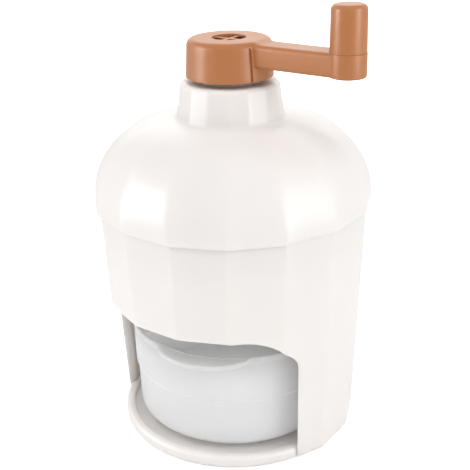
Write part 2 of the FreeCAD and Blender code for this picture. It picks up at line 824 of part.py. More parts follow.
def makeNeckBush():
    body = newBody("neck_bush")
    turn(body, "bushForm", [
        ("bushBore", "bushBottom"),
        ("bushRadius", "bushBottom"),
        ("bushRadius + bushSnap", "plateUnder - fitGap"),
        ("bushRadius", "plateUnder - fitGap"),
        ("bushRadius", "neckTop"),
        ("bushFlange", "neckTop"),
        ("bushFlange", "bushTop", "bushFlangeThick / 3"),
        ("bushBore", "bushTop"),
    ])
    return body


# Crank: hub, arm and grip boss in one, a drive tube pinned into the hub.

def makeCrankArm():
    body = newBody("crank_arm")
    turn(body, "hubForm", [
        ("tubeRadius + fitGap", "bossBottom"),
        ("hubBossRadius", "bossBottom"),
        ("hubBossRadius", "hollowTop"),
        ("hubInner", "hollowTop"),
        ("hubInner", "hubBottom"),
        ("hubRadius", "hubBottom", "hubEdgeRound"),
        ("hubTopRadius", "hubTop", "hubRound"),
        ("recessRadius", "hubTop"),
        ("recessRadius", "recessFloor"),
        ("0", "recessFloor"),
        ("0", "tubeTop + fitGap"),
        ("tubeRadius + fitGap", "tubeTop + fitGap"),
    ])
    root = newSketch(body, "armRootSketch", "YZ_Plane", "armRootStart")
    end = newSketch(body, "armEndSketch", "YZ_Plane", "armLength")
    for sketch, half in ((root, "armRootHalf"), (end, "armEndHalf")):
        addLoop(sketch, [
            (f"-{half}", "armBottom", "armRound"),
            (half, "armBottom", "armRound"),
            (half, "armTop", "armRound"),
            (f"-{half}", "armTop", "armRound"),
        ])
    arm = body.newObject("PartDesign::AdditiveLoft", "arm")
    arm.Profile = root
    arm.Sections = [end]
    arm.Ruled = True
    boss = [("armLength", "0")]
    posts(body, "gripBoss", boss, "armBossRadius", "armBottom", "armTop - armBottom")
    pockets = []
    creases = []
    for x in ("", "-"):
        for y in ("", "-"):
            pockets.append([
                (f"{x}ribHalf", f"{y}ribHalf"),
                (f"{x}pocketReach", f"{y}ribHalf"),
                (f"{x}pocketReach", f"{y}pocketReach", "pocketRound"),
                (f"{x}ribHalf", f"{y}pocketReach"),
            ])
    blocks(body, "hubPockets", pockets, "recessFloor - pocketDepth", "pocketDepth", cut=True)
    for y in ("", "-"):
        inner = "sqrt(hubRadius * hubRadius - creaseEnd * creaseEnd) - creaseDepth"
        creases.append([
            (inner, f"{y}creaseStart"),
            ("hubRadius + 1", f"{y}creaseStart"),
            ("hubRadius + 1", f"{y}creaseEnd"),
            (inner, f"{y}creaseEnd"),
        ])
    blocks(body, "hubCreases", creases, "hubBottom - 1", "hubTop - hubRound - hubBottom + 1", cut=True)
    half = "(channelEnd - channelStart - channelRib) / 2"
    channels = []
    for start in ("channelStart", f"(channelEnd - {half})"):
        plain = box((start, "-channelHalf"), (half, "2 * channelHalf"))
        channels.append([corner + ("channelRound",) for corner in plain])
    blocks(body, "armChannels", channels, "armBottom", "channelDepth", cut=True)
    posts(body, "gripPinHole", boss, "gripPinRadius + fitGap", "armBottom", "armTop - armBottom", cut=True)
    posts(body, "gripPinSink", boss, "gripPinHead + fitGap", "armBottom", "gripPinHeadThick + fitGap",
          cut=True)
    crossHole(body, "crossPinHole", "crossPinRadius", "crossPinHeight", "2 * hubBossRadius")
    return body


def makeDriveTube():
    body = newBody("drive_tube")
    groove = "clipThick + fitGap"
    turn(body, "tubeForm", [
        ("0", "tubeBottom"),
        ("tubeRadius", "tubeBottom", "clipDepth"),
        ("tubeRadius", "clipBottom"),
        ("tubeRadius - clipDepth", "clipBottom"),
        ("tubeRadius - clipDepth", "clipBottom + " + groove),
        ("tubeRadius", "clipBottom + " + groove),
        ("tubeRadius", "tubeTop"),
        ("tubeBore", "tubeTop"),
        ("tubeBore", "driveTop"),
        ("0", "driveTop"),
    ])
    blocks(body, "driveHole", [hexagon("(stemAcross + 2 * fitGap)")], "tubeBottom", "driveLong", cut=True)
    crossHole(body, "tubePinHole", "crossPinRadius", "crossPinHeight", "4 * tubeRadius")
    return body


def makeTubePin():
    body = newBody("tube_pin")
    sketch = newSketch(body, "pinSketch", "XZ_Plane")
    addCircles(sketch, [("0", "crossPinHeight")], "crossPinRadius - fitGap")
    extrude(body, "pinPad", sketch, "2 * hubBossRadius - 4 * fitGap", middle=True)
    return body


def ringPiece(label, inner, outer, bottom, top):
    """A flat ring about Z."""
    body = newBody(label)
    turn(body, label + "Form", [(inner, bottom), (outer, bottom), (outer, top), (inner, top)])
    return body


def makeTubeClip():
    inner = "tubeRadius - clipDepth + fitGap"
    body = ringPiece("tube_clip", inner, inner + " + clipWide", "clipBottom", "clipBottom + clipThick")
    mouth = box(("-clipMouth / 2", "-2 * tubeRadius"), ("clipMouth", "2 * tubeRadius"))
    blocks(body, "clipMouthCut", [mouth], "clipBottom - 1", "clipThick + 2", cut=True)
    return body


def makeGripPin():
    body = newBody("grip_pin")
    head = "armBottom + gripPinHeadThick"
    turn(body, "gripPinForm", [
        ("0", "armBottom"),
        ("gripPinHead", "armBottom"),
        ("gripPinHead", head),
        ("gripPinRadius", head),
        ("gripPinRadius", "gripSnapHeight"),
        ("gripSnapRadius", "gripSnapHeight"),
        ("gripPinRadius - 1", "gripSnapHeight + gripSnapLong"),
        ("0", "gripSnapHeight + gripSnapLong"),
    ])
    place(body, x="armLength")
    return body


def makeGripSleeve():
    body = newBody("grip_sleeve")
    cavityTop = "gripSnapHeight + gripSnapLong + playGap"
    turn(body, "sleeveForm", [
        ("gripPinRadius + runGap", "gripBottom"),
        ("gripRadius", "gripBottom", "hubEdgeRound"),
        ("gripTopRadius", "gripTop", "gripRound"),
        ("0", "gripTop"),
        ("0", cavityTop),
        ("gripSnapRadius + playGap", cavityTop),
        ("gripSnapRadius + playGap", "gripSnapHeight - playGap"),
        ("gripPinRadius + runGap", "gripSnapHeight - playGap"),
    ])
    place(body, x="armLength")
    return body


# Presser: a ribbed disc with steel spikes, on a six sided stem that slides in the tube.

def makePresserDisc():
    body = newBody("presser_disc")
    turn(body, "discForm", [
        ("0", "presserHeight"),
        ("presserRadius", "presserHeight", "spikeRadius"),
        ("presserRadius", "presserTop + presserRimHeight"),
        ("presserRadius - presserRimWall", "presserTop + presserRimHeight"),
        ("presserRadius - presserRimWall", "presserTop"),
        ("presserBossRadius", "presserTop"),
        ("presserBossRadius", "presserTop + presserBossHeight"),
        ("0", "presserTop + presserBossHeight"),
    ])
    ribs = []
    reach = "presserRadius - presserRimWall / 2"
    for index in range(counts["presserRibCount"]):
        angle = f"(360 / presserRibCount * {index} + presserRibAngle)"
        corners = []
        for along, side in (("presserRibStart", "-"), (reach, "-"), (reach, ""), ("presserRibStart", "")):
            x = f"({along}) * cos({angle}) - ({side}presserRibHalf) * sin({angle})"
            y = f"({along}) * sin({angle}) + ({side}presserRibHalf) * cos({angle})"
            corners.append((x, y))
        ribs.append(corners)
    blocks(body, "discRibs", ribs, "presserTop", "presserRimHeight")
    posts(body, "footSink", [("0", "0")], "stemFoot + fitGap", "presserHeight", "stemFootThick", cut=True)
    blocks(body, "stemHole", [hexagon("(stemAcross + fitGap)")], "presserHeight",
           "presserThick + presserBossHeight", cut=True)
    posts(body, "spikeHoles", spikeSpots(), "spikeRadius + fitGap / 2", "presserHeight", "spikeSunk",
          cut=True)
    crossHole(body, "stemPinHole", "stemPinRadius", "presserTop + stemPinUp", "4 * presserBossRadius")
    return body


def spikeSpots():
    outer = ringSpots("spikeCount", "spikeRingOuter")
    inner = ringSpots("spikeCount", "spikeRingInner", "spikeAngle")
    return outer + inner


def makePresserSpikes():
    body = newBody("presser_spikes")
    posts(body, "spikeShanks", spikeSpots(), "spikeRadius", "spikeBottom", "spikeShaft + spikeSunk")
    sketch = newSketch(body, "spikeTipSketch", "XY_Plane", "spikeBottom")
    addCircles(sketch, spikeSpots(), "spikeRadius")
    tips = extrude(body, "spikeTips", sketch, "spikeTip", back=True)
    bind(tips, "TaperAngle", "-atan((spikeRadius - spikeTipRadius) / spikeTip)")
    return body


def makePresserStem():
    body = newBody("presser_stem")
    posts(body, "stemFootDisc", [("0", "0")], "stemFoot", "presserHeight", "stemFootThick")
    blocks(body, "stemBar", [hexagon("stemAcross")], "presserHeight", "stemTop - presserHeight")
    posts(body, "stemPilot", [("0", "0")], "stemScrewRadius + fitGap",
          "stemTop - stemScrewLength - 1", "stemScrewLength + 1", cut=True)
    crossHole(body, "stemCross", "stemPinRadius", "presserTop + stemPinUp", "4 * presserBossRadius")
    return body


def makeStemPin():
    body = newBody("stem_pin")
    sketch = newSketch(body, "stemPinSketch", "XZ_Plane")
    addCircles(sketch, [("0", "presserTop + stemPinUp")], "stemPinRadius - fitGap / 2")
    extrude(body, "stemPinPad", sketch, "2 * presserBossRadius", middle=True)
    return body


def makeStemScrew():
    body = newBody("stem_screw")
    top = "stemTop + stemWasherThick"
    turn(body, "stemScrewForm", [
        ("0", "stemTop - stemScrewLength"),
        ("stemScrewRadius", "stemTop - stemScrewLength"),
        ("stemScrewRadius", top),
        ("stemHeadRadius", top),
        ("stemHeadRadius", top + " + stemHeadThick", "stemHeadThick / 3"),
        ("0", top + " + stemHeadThick"),
    ])
    return body


def makePressureSpring():
    """Open coil spring: one tube along a helix, drawn as arcs that meet in tangents."""
    radius = number("springRadius")
    wire = number("springWire")
    turns = number("springTurns")
    bottom = number("presserTop") + wire + number("fitGap")
    top = number("springTop") - wire - number("fitGap")
    rise = top - bottom
    steps = int(round(turns * 4))
    points = []
    tangents = []
    for index in range(steps + 1):
        angle = 2 * math.pi * turns * index / steps
        height = bottom + rise * index / steps
        points.append(FreeCAD.Vector(radius * math.cos(angle), radius * math.sin(angle), height))
        climb = rise / (2 * math.pi * turns)
        along = FreeCAD.Vector(-radius * math.sin(angle), radius * math.cos(angle), climb)
        tangents.append(along.normalize())
    arcs = []
    for index in range(steps):
        arcs.extend(biarc(points[index], tangents[index], points[index + 1], tangents[index + 1]))
    path = Part.Wire([arc.toShape() for arc in arcs])
    section = Part.Wire([Part.Circle(points[0], tangents[0], wire).toShape()])
    solid = path.makePipeShell([section], True, False)
    spring = doc.addObject("Part::Feature", "pressure_spring")
    spring.Label = "pressure_spring"
    spring.Shape = solid
    pitch = rise / turns
    print(f"spring: pitch {pitch:.2f}, least gap between turns {pitch - 2 * wire:.2f}")
    return spring


def biarc(start, startWay, end, endWay):
    """Two arcs that join at a tangent, from one point and direction to another."""
    chord = end - start
    both = startWay + endWay
    along = chord.dot(both)
    spread = 2 * (1 - startWay.dot(endWay))
    reach = (-along + math.sqrt(along * along + spread * chord.dot(chord))) / spread
    joint = (start + end + (startWay - endWay) * reach) * 0.5
    return [arcFrom(start, startWay, joint), arcBack(joint, end, endWay)]


def arcFrom(start, way, end):
    """Arc that leaves its start in a given direction."""
    chord = end - start
    normal = way.cross(chord).normalize()
    side = normal.cross(way)
    radius = chord.dot(chord) / (2 * chord.dot(side))
    centre = start + side * radius
    middle = centre + ((start + end) * 0.5 - centre).normalize() * radius
    return Part.Arc(start, middle, end)


def arcBack(start, end, way):
    """Arc that arrives at its end in a given direction."""
    chord = start - end
    normal = way.cross(chord).normalize()
    side = normal.cross(way)
    radius = chord.dot(chord) / (2 * chord.dot(side))
    centre = end + side * radius
    middle = centre + ((start + end) * 0.5 - centre).normalize() * radius
    return Part.Arc(start, middle, end)


# Ice cup: stepped wall, beaded rim and a crescent finger tab.

def makeIceCup():
    body = newBody("ice_cup")
    turn(body, "cupForm", [
        ("0", "cupBottom"),
        ("cupBaseRadius", "cupBottom", "cupCorner"),
        ("cupStepRadius", "cupStepHeight"),
        ("cupStepRadius + cupStepOut", "cupStepHeight + cupStepOut"),
        ("cupTopRadius", "cupTop - cupRimHeight"),
        ("cupTopRadius + cupRimOut", "cupTop - cupRimHeight", "cupRimOut / 4"),
        ("cupTopRadius + cupRimOut", "cupTop", "cupRimOut / 2"),
        ("0", "cupTop"),
    ])
    tab = [("tabOffset * sin(tabAngle)", "-tabOffset * cos(tabAngle)")]
    posts(body, "tab", tab, "tabRadius", "cupTop - tabDrop - tabThick", "tabThick")
    turn(body, "cupHollow", [
        ("0", "cupBottom + cupWall"),
        ("cupBaseRadius - cupWall", "cupBottom + cupWall", "cupCorner - cupWall"),
        ("cupStepRadius - cupWall", "cupStepHeight + cupWall / 2"),
        ("cupStepRadius + cupStepOut - cupWall", "cupStepHeight + cupStepOut + cupWall / 2"),
        ("cupSpring", "cupTop + 1"),
        ("0", "cupTop + 1"),
    ], cut=True)
    place(body, y="cupBack")
    return body


pieces = [
    makeBodyShell(),
    makeBaseTray(),
    makeFootPad(),
    makeTrayScrews(),
    makeIceChamber(),
    makeChamberScrews(),
    makeBladePlate(),
    makeBlade(),
    makeBladeClamp(),
    makeBladeScrews(),
    makePlateScrews(),
    makeDomeCover(),
    makeNeckBush(),
    makeCrankArm(),
    makeDriveTube(),
    makeTubePin(),
    makeTubeClip(),
    ringPiece("thrust_washer", "bushBore", "bushRadius", "washerBottom", "washerTop"),
    ringPiece("spring_seat", "bushBore", "seatRadius", "springTop", "clipBottom"),
    makeGripPin(),
    makeGripSleeve(),
    makePresserDisc(),
    makePresserSpikes(),
    makePresserStem(),
    makeStemPin(),
    ringPiece("stem_washer", "stemScrewRadius + fitGap", "stemWasherRadius", "stemTop",
              "stemTop + stemWasherThick"),
    makeStemScrew(),
    makePressureSpring(),
    makeIceCup(),
]

doc.recompute()
for item in doc.Objects:
    if "Invalid" in item.State or "Error" in item.State:
        raise RuntimeError(f"{item.Label} failed: {item.State}")
os.makedirs("parts", exist_ok=True)
for piece in pieces:
    shape = piece.Shape
    if shape.isNull() or not shape.isValid():
        raise RuntimeError(f"{piece.Label} has no valid shape")
    if not shape.Solids:
        raise RuntimeError(f"{piece.Label} has no solid")
    print(f"{piece.Label}: {len(shape.Solids)} solids, {shape.Volume / 1000:.2f} cm3")
    shape.exportStep(f"parts/{piece.Label}.step")
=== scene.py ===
import json
import math

import bmesh
import bpy
import numpy as np
from mathutils import Matrix, Vector


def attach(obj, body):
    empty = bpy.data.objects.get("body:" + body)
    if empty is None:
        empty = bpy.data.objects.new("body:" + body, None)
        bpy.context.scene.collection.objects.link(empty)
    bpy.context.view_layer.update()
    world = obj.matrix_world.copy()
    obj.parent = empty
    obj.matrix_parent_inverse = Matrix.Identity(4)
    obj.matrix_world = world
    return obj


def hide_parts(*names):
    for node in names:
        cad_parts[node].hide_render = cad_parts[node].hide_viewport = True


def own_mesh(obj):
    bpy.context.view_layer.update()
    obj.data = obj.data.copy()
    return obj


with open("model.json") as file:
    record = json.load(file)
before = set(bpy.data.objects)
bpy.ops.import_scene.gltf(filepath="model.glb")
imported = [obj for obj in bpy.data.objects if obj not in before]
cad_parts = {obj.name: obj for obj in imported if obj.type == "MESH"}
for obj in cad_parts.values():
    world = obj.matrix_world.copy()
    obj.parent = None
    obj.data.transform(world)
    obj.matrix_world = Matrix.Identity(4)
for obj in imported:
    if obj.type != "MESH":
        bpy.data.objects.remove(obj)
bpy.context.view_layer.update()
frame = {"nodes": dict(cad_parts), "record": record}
print("frame loaded:", len(frame["nodes"]), "nodes")

# Shapes are worked out in millimetres and turned into metres when a mesh is made.
millimetre = 0.001
fullTurn = 2 * math.pi
sideCount = 16
sideTurn = fullTurn / sideCount
flatShare = math.cos(sideTurn / 2)  # inradius of the polygon over its circumradius


# Surfaces

def smoothStep(low, high, value):
    # Rises from 0 at low to 1 at high, level at both ends.
    share = np.clip((value - low) / (high - low), 0, 1)
    return share * share * (3 - 2 * share)


def surfaceMesh(name, patches, caps=(), sharpAngle=38):
    # A patch is a grid of points whose neighbours are joined by four sided faces; a cap is one flat outline.
    # Points that fall together are merged, which closes seams and poles.
    patches = [np.asarray(patch, float) for patch in patches]
    caps = [np.asarray(cap, float) for cap in caps]
    points = np.concatenate([item.reshape(-1, 3) for item in patches + caps]) * millimetre
    corners = []
    starts = []
    first = 0
    filled = 0
    for patch in patches:
        rows, columns = patch.shape[:2]
        grid = np.arange(rows * columns).reshape(rows, columns) + first
        quads = np.stack([grid[:-1, :-1], grid[:-1, 1:], grid[1:, 1:], grid[1:, :-1]], -1).reshape(-1)
        corners.append(quads)
        starts.append(np.arange(0, len(quads), 4) + filled)
        filled += len(quads)
        first += rows * columns
    for cap in caps:
        corners.append(np.arange(len(cap)) + first)
        starts.append(np.array([filled]))
        filled += len(cap)
        first += len(cap)
    mesh = bpy.data.meshes.new(name)
    mesh.vertices.add(len(points))
    mesh.vertices.foreach_set("co", points.ravel())
    mesh.loops.add(filled)
    mesh.loops.foreach_set("vertex_index", np.concatenate(corners))
    mesh.polygons.add(sum(len(item) for item in starts))
    mesh.polygons.foreach_set("loop_start", np.concatenate(starts))
    mesh.update(calc_edges=True)
    form = bmesh.new()
    form.from_mesh(mesh)
    bmesh.ops.remove_doubles(form, verts=form.verts, dist=3e-6)
    bmesh.ops.recalc_face_normals(form, faces=form.faces)
    if form.calc_volume(signed=True) < 0:
        bmesh.ops.reverse_faces(form, faces=form.faces)
    loose = sum(not edge.is_manifold for edge in form.edges)
    form.to_mesh(mesh)
    form.free()
    mesh.polygons.foreach_set("use_smooth", np.ones(len(mesh.polygons), bool))
    mesh.set_sharp_from_angle(angle=math.radians(sharpAngle))
    piece = bpy.data.objects.new(name, mesh)
    bpy.context.scene.collection.objects.link(piece)
    print(f"{name}: {len(mesh.polygons)} faces, {loose} open edges")
    return piece


def joinPieces(pieces):
    # Puts several closed forms of one moulding into the first one's mesh.
    form = bmesh.new()
    for piece in pieces:
        form.from_mesh(piece.data)
    form.to_mesh(pieces[0].data)
    form.free()
    for piece in pieces[1:]:
        bpy.data.objects.remove(piece)
    return pieces[0]


def roundedPath(corners, closed=True, step=11):
    # Corners are rows of (across, height, rounding, extras). Each rounded corner becomes an arc that touches
    # both of its sides, and the extras run evenly from corner to corner.
    corners = [tuple(corner) for corner in corners]
    wide = max(len(corner) for corner in corners)
    corners = np.array([corner + (0,) * (wide - len(corner)) for corner in corners], float)
    rows = []
    for index, corner in enumerate(corners):
        ends = not closed and index in (0, len(corners) - 1)
        if ends or corner[2] <= 0:
            rows.append(corner[None])
            continue
        before = corners[index - 1]
        after = corners[(index + 1) % len(corners)]
        toBefore = before[:2] - corner[:2]
        toAfter = after[:2] - corner[:2]
        lengths = np.linalg.norm(toBefore), np.linalg.norm(toAfter)
        toBefore = toBefore / lengths[0]
        toAfter = toAfter / lengths[1]
        half = math.acos(np.clip(toBefore @ toAfter, -1, 1)) / 2
        reach = corner[2] / math.tan(half)
        between = (toBefore + toAfter) / np.linalg.norm(toBefore + toAfter)
        centre = corner[:2] + between * corner[2] / math.sin(half)
        turn = math.pi - 2 * half
        share = np.linspace(0, 1, max(3, math.ceil(math.degrees(turn) / step) + 1))[:, None]
        spokes = corner[:2] + toBefore * reach - centre, corner[:2] + toAfter * reach - centre
        arc = np.sin((1 - share) * turn) * spokes[0] + np.sin(share * turn) * spokes[1]
        start = corner + (before - corner) * reach / lengths[0]
        end = corner + (after - corner) * reach / lengths[1]
        blend = (1 - share) ** 2 * start + 2 * share * (1 - share) * corner + share ** 2 * end
        blend[:, :2] = centre + arc / math.sin(turn)
        rows.append(blend)
    path = np.concatenate(rows)
    return np.concatenate([path, path[:1]]) if closed else path


def facetShare(angle, softness):
    # Radius of the sixteen sided outline over its inradius: 1 / cos on a flat, and an arc at each ridge,
    # whose radius is softness times the inradius.
    offset = np.abs((angle + sideTurn / 2) % sideTurn - sideTurn / 2)
    flatEnd = np.arctan((1 - softness) * math.tan(sideTurn / 2))
    centre = (1 - softness) / flatShare
    past = sideTurn / 2 - offset
    arc = centre * np.cos(past) + np.sqrt(np.maximum(softness ** 2 - (centre * np.sin(past)) ** 2, 0))
    return np.where(offset < flatEnd, 1 / np.cos(offset), arc)


def latheGrid(path, angles, centre=(0, 0), sway=None):
    # Path rows are (radius, height, rounding, facet weight, ridge softness), carried round a vertical axis.
    # The facet weight is 0 where round and 1 where sixteen sided. Sway adds to the radius by row and angle.
    wide = np.zeros((len(path), 5))
    wide[:, :path.shape[1]] = path
    radius, height, _, weight, softness = (wide[:, [column]] for column in range(5))
    reach = radius * (1 + weight * (facetShare(angles[None], np.maximum(softness, 0.001)) - 1))
    if sway is not None:
        reach = reach + sway(radius, height, angles[None])
    level = height + 0 * angles[None]
    return np.stack([centre[0] + reach * np.cos(angles), centre[1] + reach * np.sin(angles), level], -1)


def turnAngles(count):
    return np.linspace(0, fullTurn, count + 1)


def mergedAngles(*groups):
    return np.unique(np.round(np.concatenate(groups), 8))


# Shares of half a flat at which the faceted forms have a line of points, closer together near the ridge.
halfLines = np.array([0, 0.22, 0.42, 0.58, 0.72, 0.83, 0.905, 0.925, 0.945, 0.965, 0.985, 1.0])
oneSide = np.concatenate([-halfLines[::-1], halfLines[1:]]) * sideTurn / 2
facetAngles = np.unique(np.round((np.arange(sideCount + 1)[:, None] * sideTurn + oneSide[None]).ravel(), 9))
facetAngles = facetAngles[(facetAngles >= -1e-6) & (facetAngles <= fullTurn + 1e-6)]


# Materials

# What the groups for moulded plastic take, and what every group gives.
mouldedInputs = [
    ("Tint", "NodeSocketColor", (0.8, 0.8, 0.8, 1)),
    ("Tint Change", "NodeSocketFloat", 0.03),
    ("Gloss Low", "NodeSocketFloat", 0.25),
    ("Gloss High", "NodeSocketFloat", 0.35),
    ("Grain Size", "NodeSocketFloat", 0.0006),
]
skinOutputs = [
    ("Color", "NodeSocketColor", None),
    ("Roughness", "NodeSocketFloat", None),
    ("Height", "NodeSocketFloat", None),
]


def newGroup(name, inputs):
    group = bpy.data.node_groups.new(name, "ShaderNodeTree")
    for direction, sockets in (("INPUT", inputs), ("OUTPUT", skinOutputs)):
        for label, kind, value in sockets:
            socket = group.interface.new_socket(label, in_out=direction, socket_type=kind)
            if value is not None:
                socket.default_value = value
    return group, group.nodes.new("NodeGroupInput"), group.nodes.new("NodeGroupOutput")


def feed(tree, socket, value):
    # Links another node's output to a socket, or sets a plain value.
    if isinstance(value, bpy.types.NodeSocket):
        tree.links.new(value, socket)
    else:
        socket.default_value = value


def addNode(tree, kind, *fed, **settings):
    # Settings are the node's own values or inputs by name; what is fed goes to its inputs in their order.
    node = tree.nodes.new("ShaderNode" + kind)
    for key, value in settings.items():
        if hasattr(node, key):
            setattr(node, key, value)
        else:
            node.inputs[key.replace("_", " ")].default_value = value
    for socket, value in zip(node.inputs, fed):
        feed(tree, socket, value)
    return node


def addMix(tree, factor, first, second, **settings):
    node = addNode(tree, "Mix", **settings)
    for label, value in (("Factor", factor), ("A", first), ("B", second)):
        feed(tree, node.inputs[label], value)
    return node.outputs["Result"]


def giveSkin(group, given, outputs):
    for socket, output in zip(given.inputs, outputs):
        group.links.new(output, socket)


def makeMouldedGroup():
    # Fine grain of a tool's polish, slow waves of shrinkage and a soft change of gloss, for moulded plastic.
    group, taken, given = newGroup("mouldedSkin", mouldedInputs)
    taken = taken.outputs
    place = addNode(group, "TexCoord").outputs["Object"]
    perMetre = addNode(group, "Math", 1, taken["Grain Size"], operation="DIVIDE")
    grain = addNode(group, "TexNoise", place, Detail=3.0, Roughness=0.6)
    group.links.new(perMetre.outputs[0], grain.inputs["Scale"])
    waves = addNode(group, "TexNoise", place, Scale=38.0, Detail=1.5, Roughness=0.45)
    clouds = addNode(group, "TexNoise", place, Scale=17.0, Detail=3.0, Roughness=0.55).outputs["Fac"]
    gloss = addNode(group, "MapRange", clouds, 0.3, 0.7, taken["Gloss Low"], taken["Gloss High"])
    fade = addNode(group, "MapRange", clouds, 0.35, 0.65, 0, taken["Tint Change"])
    darkest = (0.55, 0.53, 0.5, 1)
    tint = addMix(group, fade.outputs[0], taken["Tint"], darkest, data_type="RGBA", blend_type="MULTIPLY")
    grainHeight = 0.06  # against waves of height 1
    height = addNode(group, "Math", grain.outputs["Fac"], grainHeight, waves.outputs["Fac"],
                     operation="MULTIPLY_ADD")
    giveSkin(group, given, (tint, gloss.outputs[0], height.outputs[0]))
    return group


def makeBrushedGroup():
    # Fine scratches along one direction, for turned and ground steel.
    group, taken, given = newGroup("brushedSteel", [
        ("Tint", "NodeSocketColor", (0.6, 0.6, 0.6, 1)),
        ("Stretch", "NodeSocketVector", (1, 1, 30)),
        ("Gloss Low", "NodeSocketFloat", 0.2),
        ("Gloss High", "NodeSocketFloat", 0.4),
    ])
    taken = taken.outputs
    place = addNode(group, "TexCoord").outputs["Object"]
    drawn = addNode(group, "VectorMath", place, taken["Stretch"], operation="MULTIPLY").outputs[0]
    lines = addNode(group, "TexNoise", drawn, Scale=160.0, Detail=5.0, Roughness=0.7).outputs["Fac"]
    gloss = addNode(group, "MapRange", lines, 0.3, 0.7, taken["Gloss Low"], taken["Gloss High"])
    darkest = (0.8, 0.8, 0.8, 1)
    tint = addMix(group, lines, taken["Tint"], darkest, data_type="RGBA", blend_type="MULTIPLY")
    giveSkin(group, given, (tint, gloss.outputs[0], lines))
    return group


mouldedGroup = makeMouldedGroup()
brushedGroup = makeBrushedGroup()
cupHighlightLines = ((8.2, 0.9), (36.4, 0.7), (62.0, 1.8))  # painted highlight lines at the foot, the ledge and the rim: height, and half the line's width


def makeCupHighlightGroup():
    # The moulded skin with painted highlight lines along the foot, the ledge and the rim, standing in for the
    # brightness of the wall seen edge on.
    highlightInput = ("Highlight Tint", "NodeSocketColor", (1, 1, 1, 1))
    group, taken, given = newGroup("cupSkin", [*mouldedInputs, highlightInput])
    taken = taken.outputs
    place = addNode(group, "TexCoord").outputs["Object"]
    height = addNode(group, "SeparateXYZ", place).outputs["Z"]
    lines = 0
    for middle, half in cupHighlightLines:
        # 1 near the middle of the painted highlight line, fading to 0 at twice its half width
        edge = half * millimetre
        away = addNode(group, "Math", height, middle * millimetre, operation="SUBTRACT").outputs[0]
        size = addNode(group, "Math", away, operation="ABSOLUTE").outputs[0]
        highlightBand = addNode(group, "MapRange", size, edge, 2 * edge, 1, 0, interpolation_type="SMOOTHSTEP")
        lines = addNode(group, "Math", lines, highlightBand.outputs[0], operation="MAXIMUM").outputs[0]
    # the painted highlight lines turn the tint towards white
    tint = addMix(group, lines, taken["Tint"], taken["Highlight Tint"], data_type="RGBA")
    others = [taken[label] for label, *_ in mouldedInputs[1:]]
    skin = addNode(group, "Group", tint, *others, node_tree=mouldedGroup)
    giveSkin(group, given, skin.outputs)
    return group


def finishMaterial(name, group, settings, bump, **shader):
    # A Principled shader fed by a group; what is the same all over is set on the shader's own sockets.
    material = bpy.data.materials.new(name)
    material.use_nodes = True
    tree = material.node_tree
    link = tree.links.new
    principled = tree.nodes["Principled BSDF"]
    skin = addNode(tree, "Group", node_tree=group)
    for key, value in settings.items():
        skin.inputs[key].default_value = value
    relief = addNode(tree, "Bump", Strength=bump[0], Distance=bump[1])
    link(skin.outputs["Color"], principled.inputs["Base Color"])
    link(skin.outputs["Roughness"], principled.inputs["Roughness"])
    link(skin.outputs["Height"], relief.inputs["Height"])
    link(relief.outputs["Normal"], principled.inputs["Normal"])
    for key, value in shader.items():
        principled.inputs[key.replace("_", " ")].default_value = value
    return material


def mouldedLook(tint, change, gloss, grain):
    # Colour, how far the clouds darken it, lowest and highest roughness, and the grain's size in metres.
    low, high = gloss
    values = ((*tint, 1), change, low, high, grain)
    return {label: value for (label, *_), value in zip(mouldedInputs, values)}


whiteDepth = (1.0, 0.95, 0.9)  # how deep red, green and blue light go into the white plastics
finishes = {
    "body_white": finishMaterial(
        "whitePlastic", mouldedGroup, mouldedLook((0.84, 0.805, 0.78), 0.03, (0.34, 0.42), 0.0007),
        (0.25, 0.0005), Subsurface_Weight=0.6, Subsurface_Scale=0.004, Subsurface_Radius=whiteDepth,
    ),
    "inner_white": finishMaterial(
        "innerPlastic", mouldedGroup, mouldedLook((0.84, 0.82, 0.79), 0.06, (0.36, 0.5), 0.0005),
        (0.3, 0.0004), Subsurface_Weight=1.0, Subsurface_Scale=0.008, Subsurface_Radius=whiteDepth,
    ),
    "crank_tan": finishMaterial(
        "tanPlastic", mouldedGroup, mouldedLook((0.46, 0.168, 0.05), 0.06, (0.33, 0.42), 0.0005),
        (0.3, 0.0004), Specular_IOR_Level=0.5,
    ),
    "cup_frosted": finishMaterial(
        "frostedPlastic", makeCupHighlightGroup(), mouldedLook((0.84, 0.84, 0.845), 0.02, (0.3, 0.38), 0.0005),
        (0.25, 0.0005), Transmission_Weight=0.35, IOR=1.4, Subsurface_Weight=1.0, Subsurface_Scale=0.006,
        Subsurface_Radius=(1.0, 1.0, 1.0),
    ),
    "pad_rubber": finishMaterial(
        "padRubber", mouldedGroup, mouldedLook((0.52, 0.505, 0.48), 0.2, (0.75, 0.9), 0.0009), (0.6, 0.0006),
    ),
    "steel": finishMaterial(
        "turnedSteel", brushedGroup,
        {"Tint": (0.6, 0.61, 0.62, 1), "Stretch": (1, 1, 24), "Gloss Low": 0.22, "Gloss High": 0.42},
        (0.2, 0.0001), Metallic=1.0,
    ),
    "blade_steel": finishMaterial(
        "groundSteel", brushedGroup,
        {"Tint": (0.68, 0.69, 0.7, 1), "Stretch": (24, 1, 1), "Gloss Low": 0.14, "Gloss High": 0.3},
        (0.2, 0.0001), Metallic=1.0,
    ),
}
for part in frame["record"]["subparts"]:
    node = frame["nodes"][part["node"]]
    node.data.materials.clear()
    node.data.materials.append(finishes[part["material_slot"]])
print("materials made:", len(finishes))


def dress(piece, body, slot, *nodes):
    # Gives a new piece its finish, its body, and the nodes that it stands for.
    piece.data.materials.clear()
    piece.data.materials.append(finishes[slot])
    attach(piece, body)
    if nodes:
        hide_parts(*nodes)
    return piece


# Body shell: sixteen flats outside, round inside, with an arched opening cut straight back from the front.

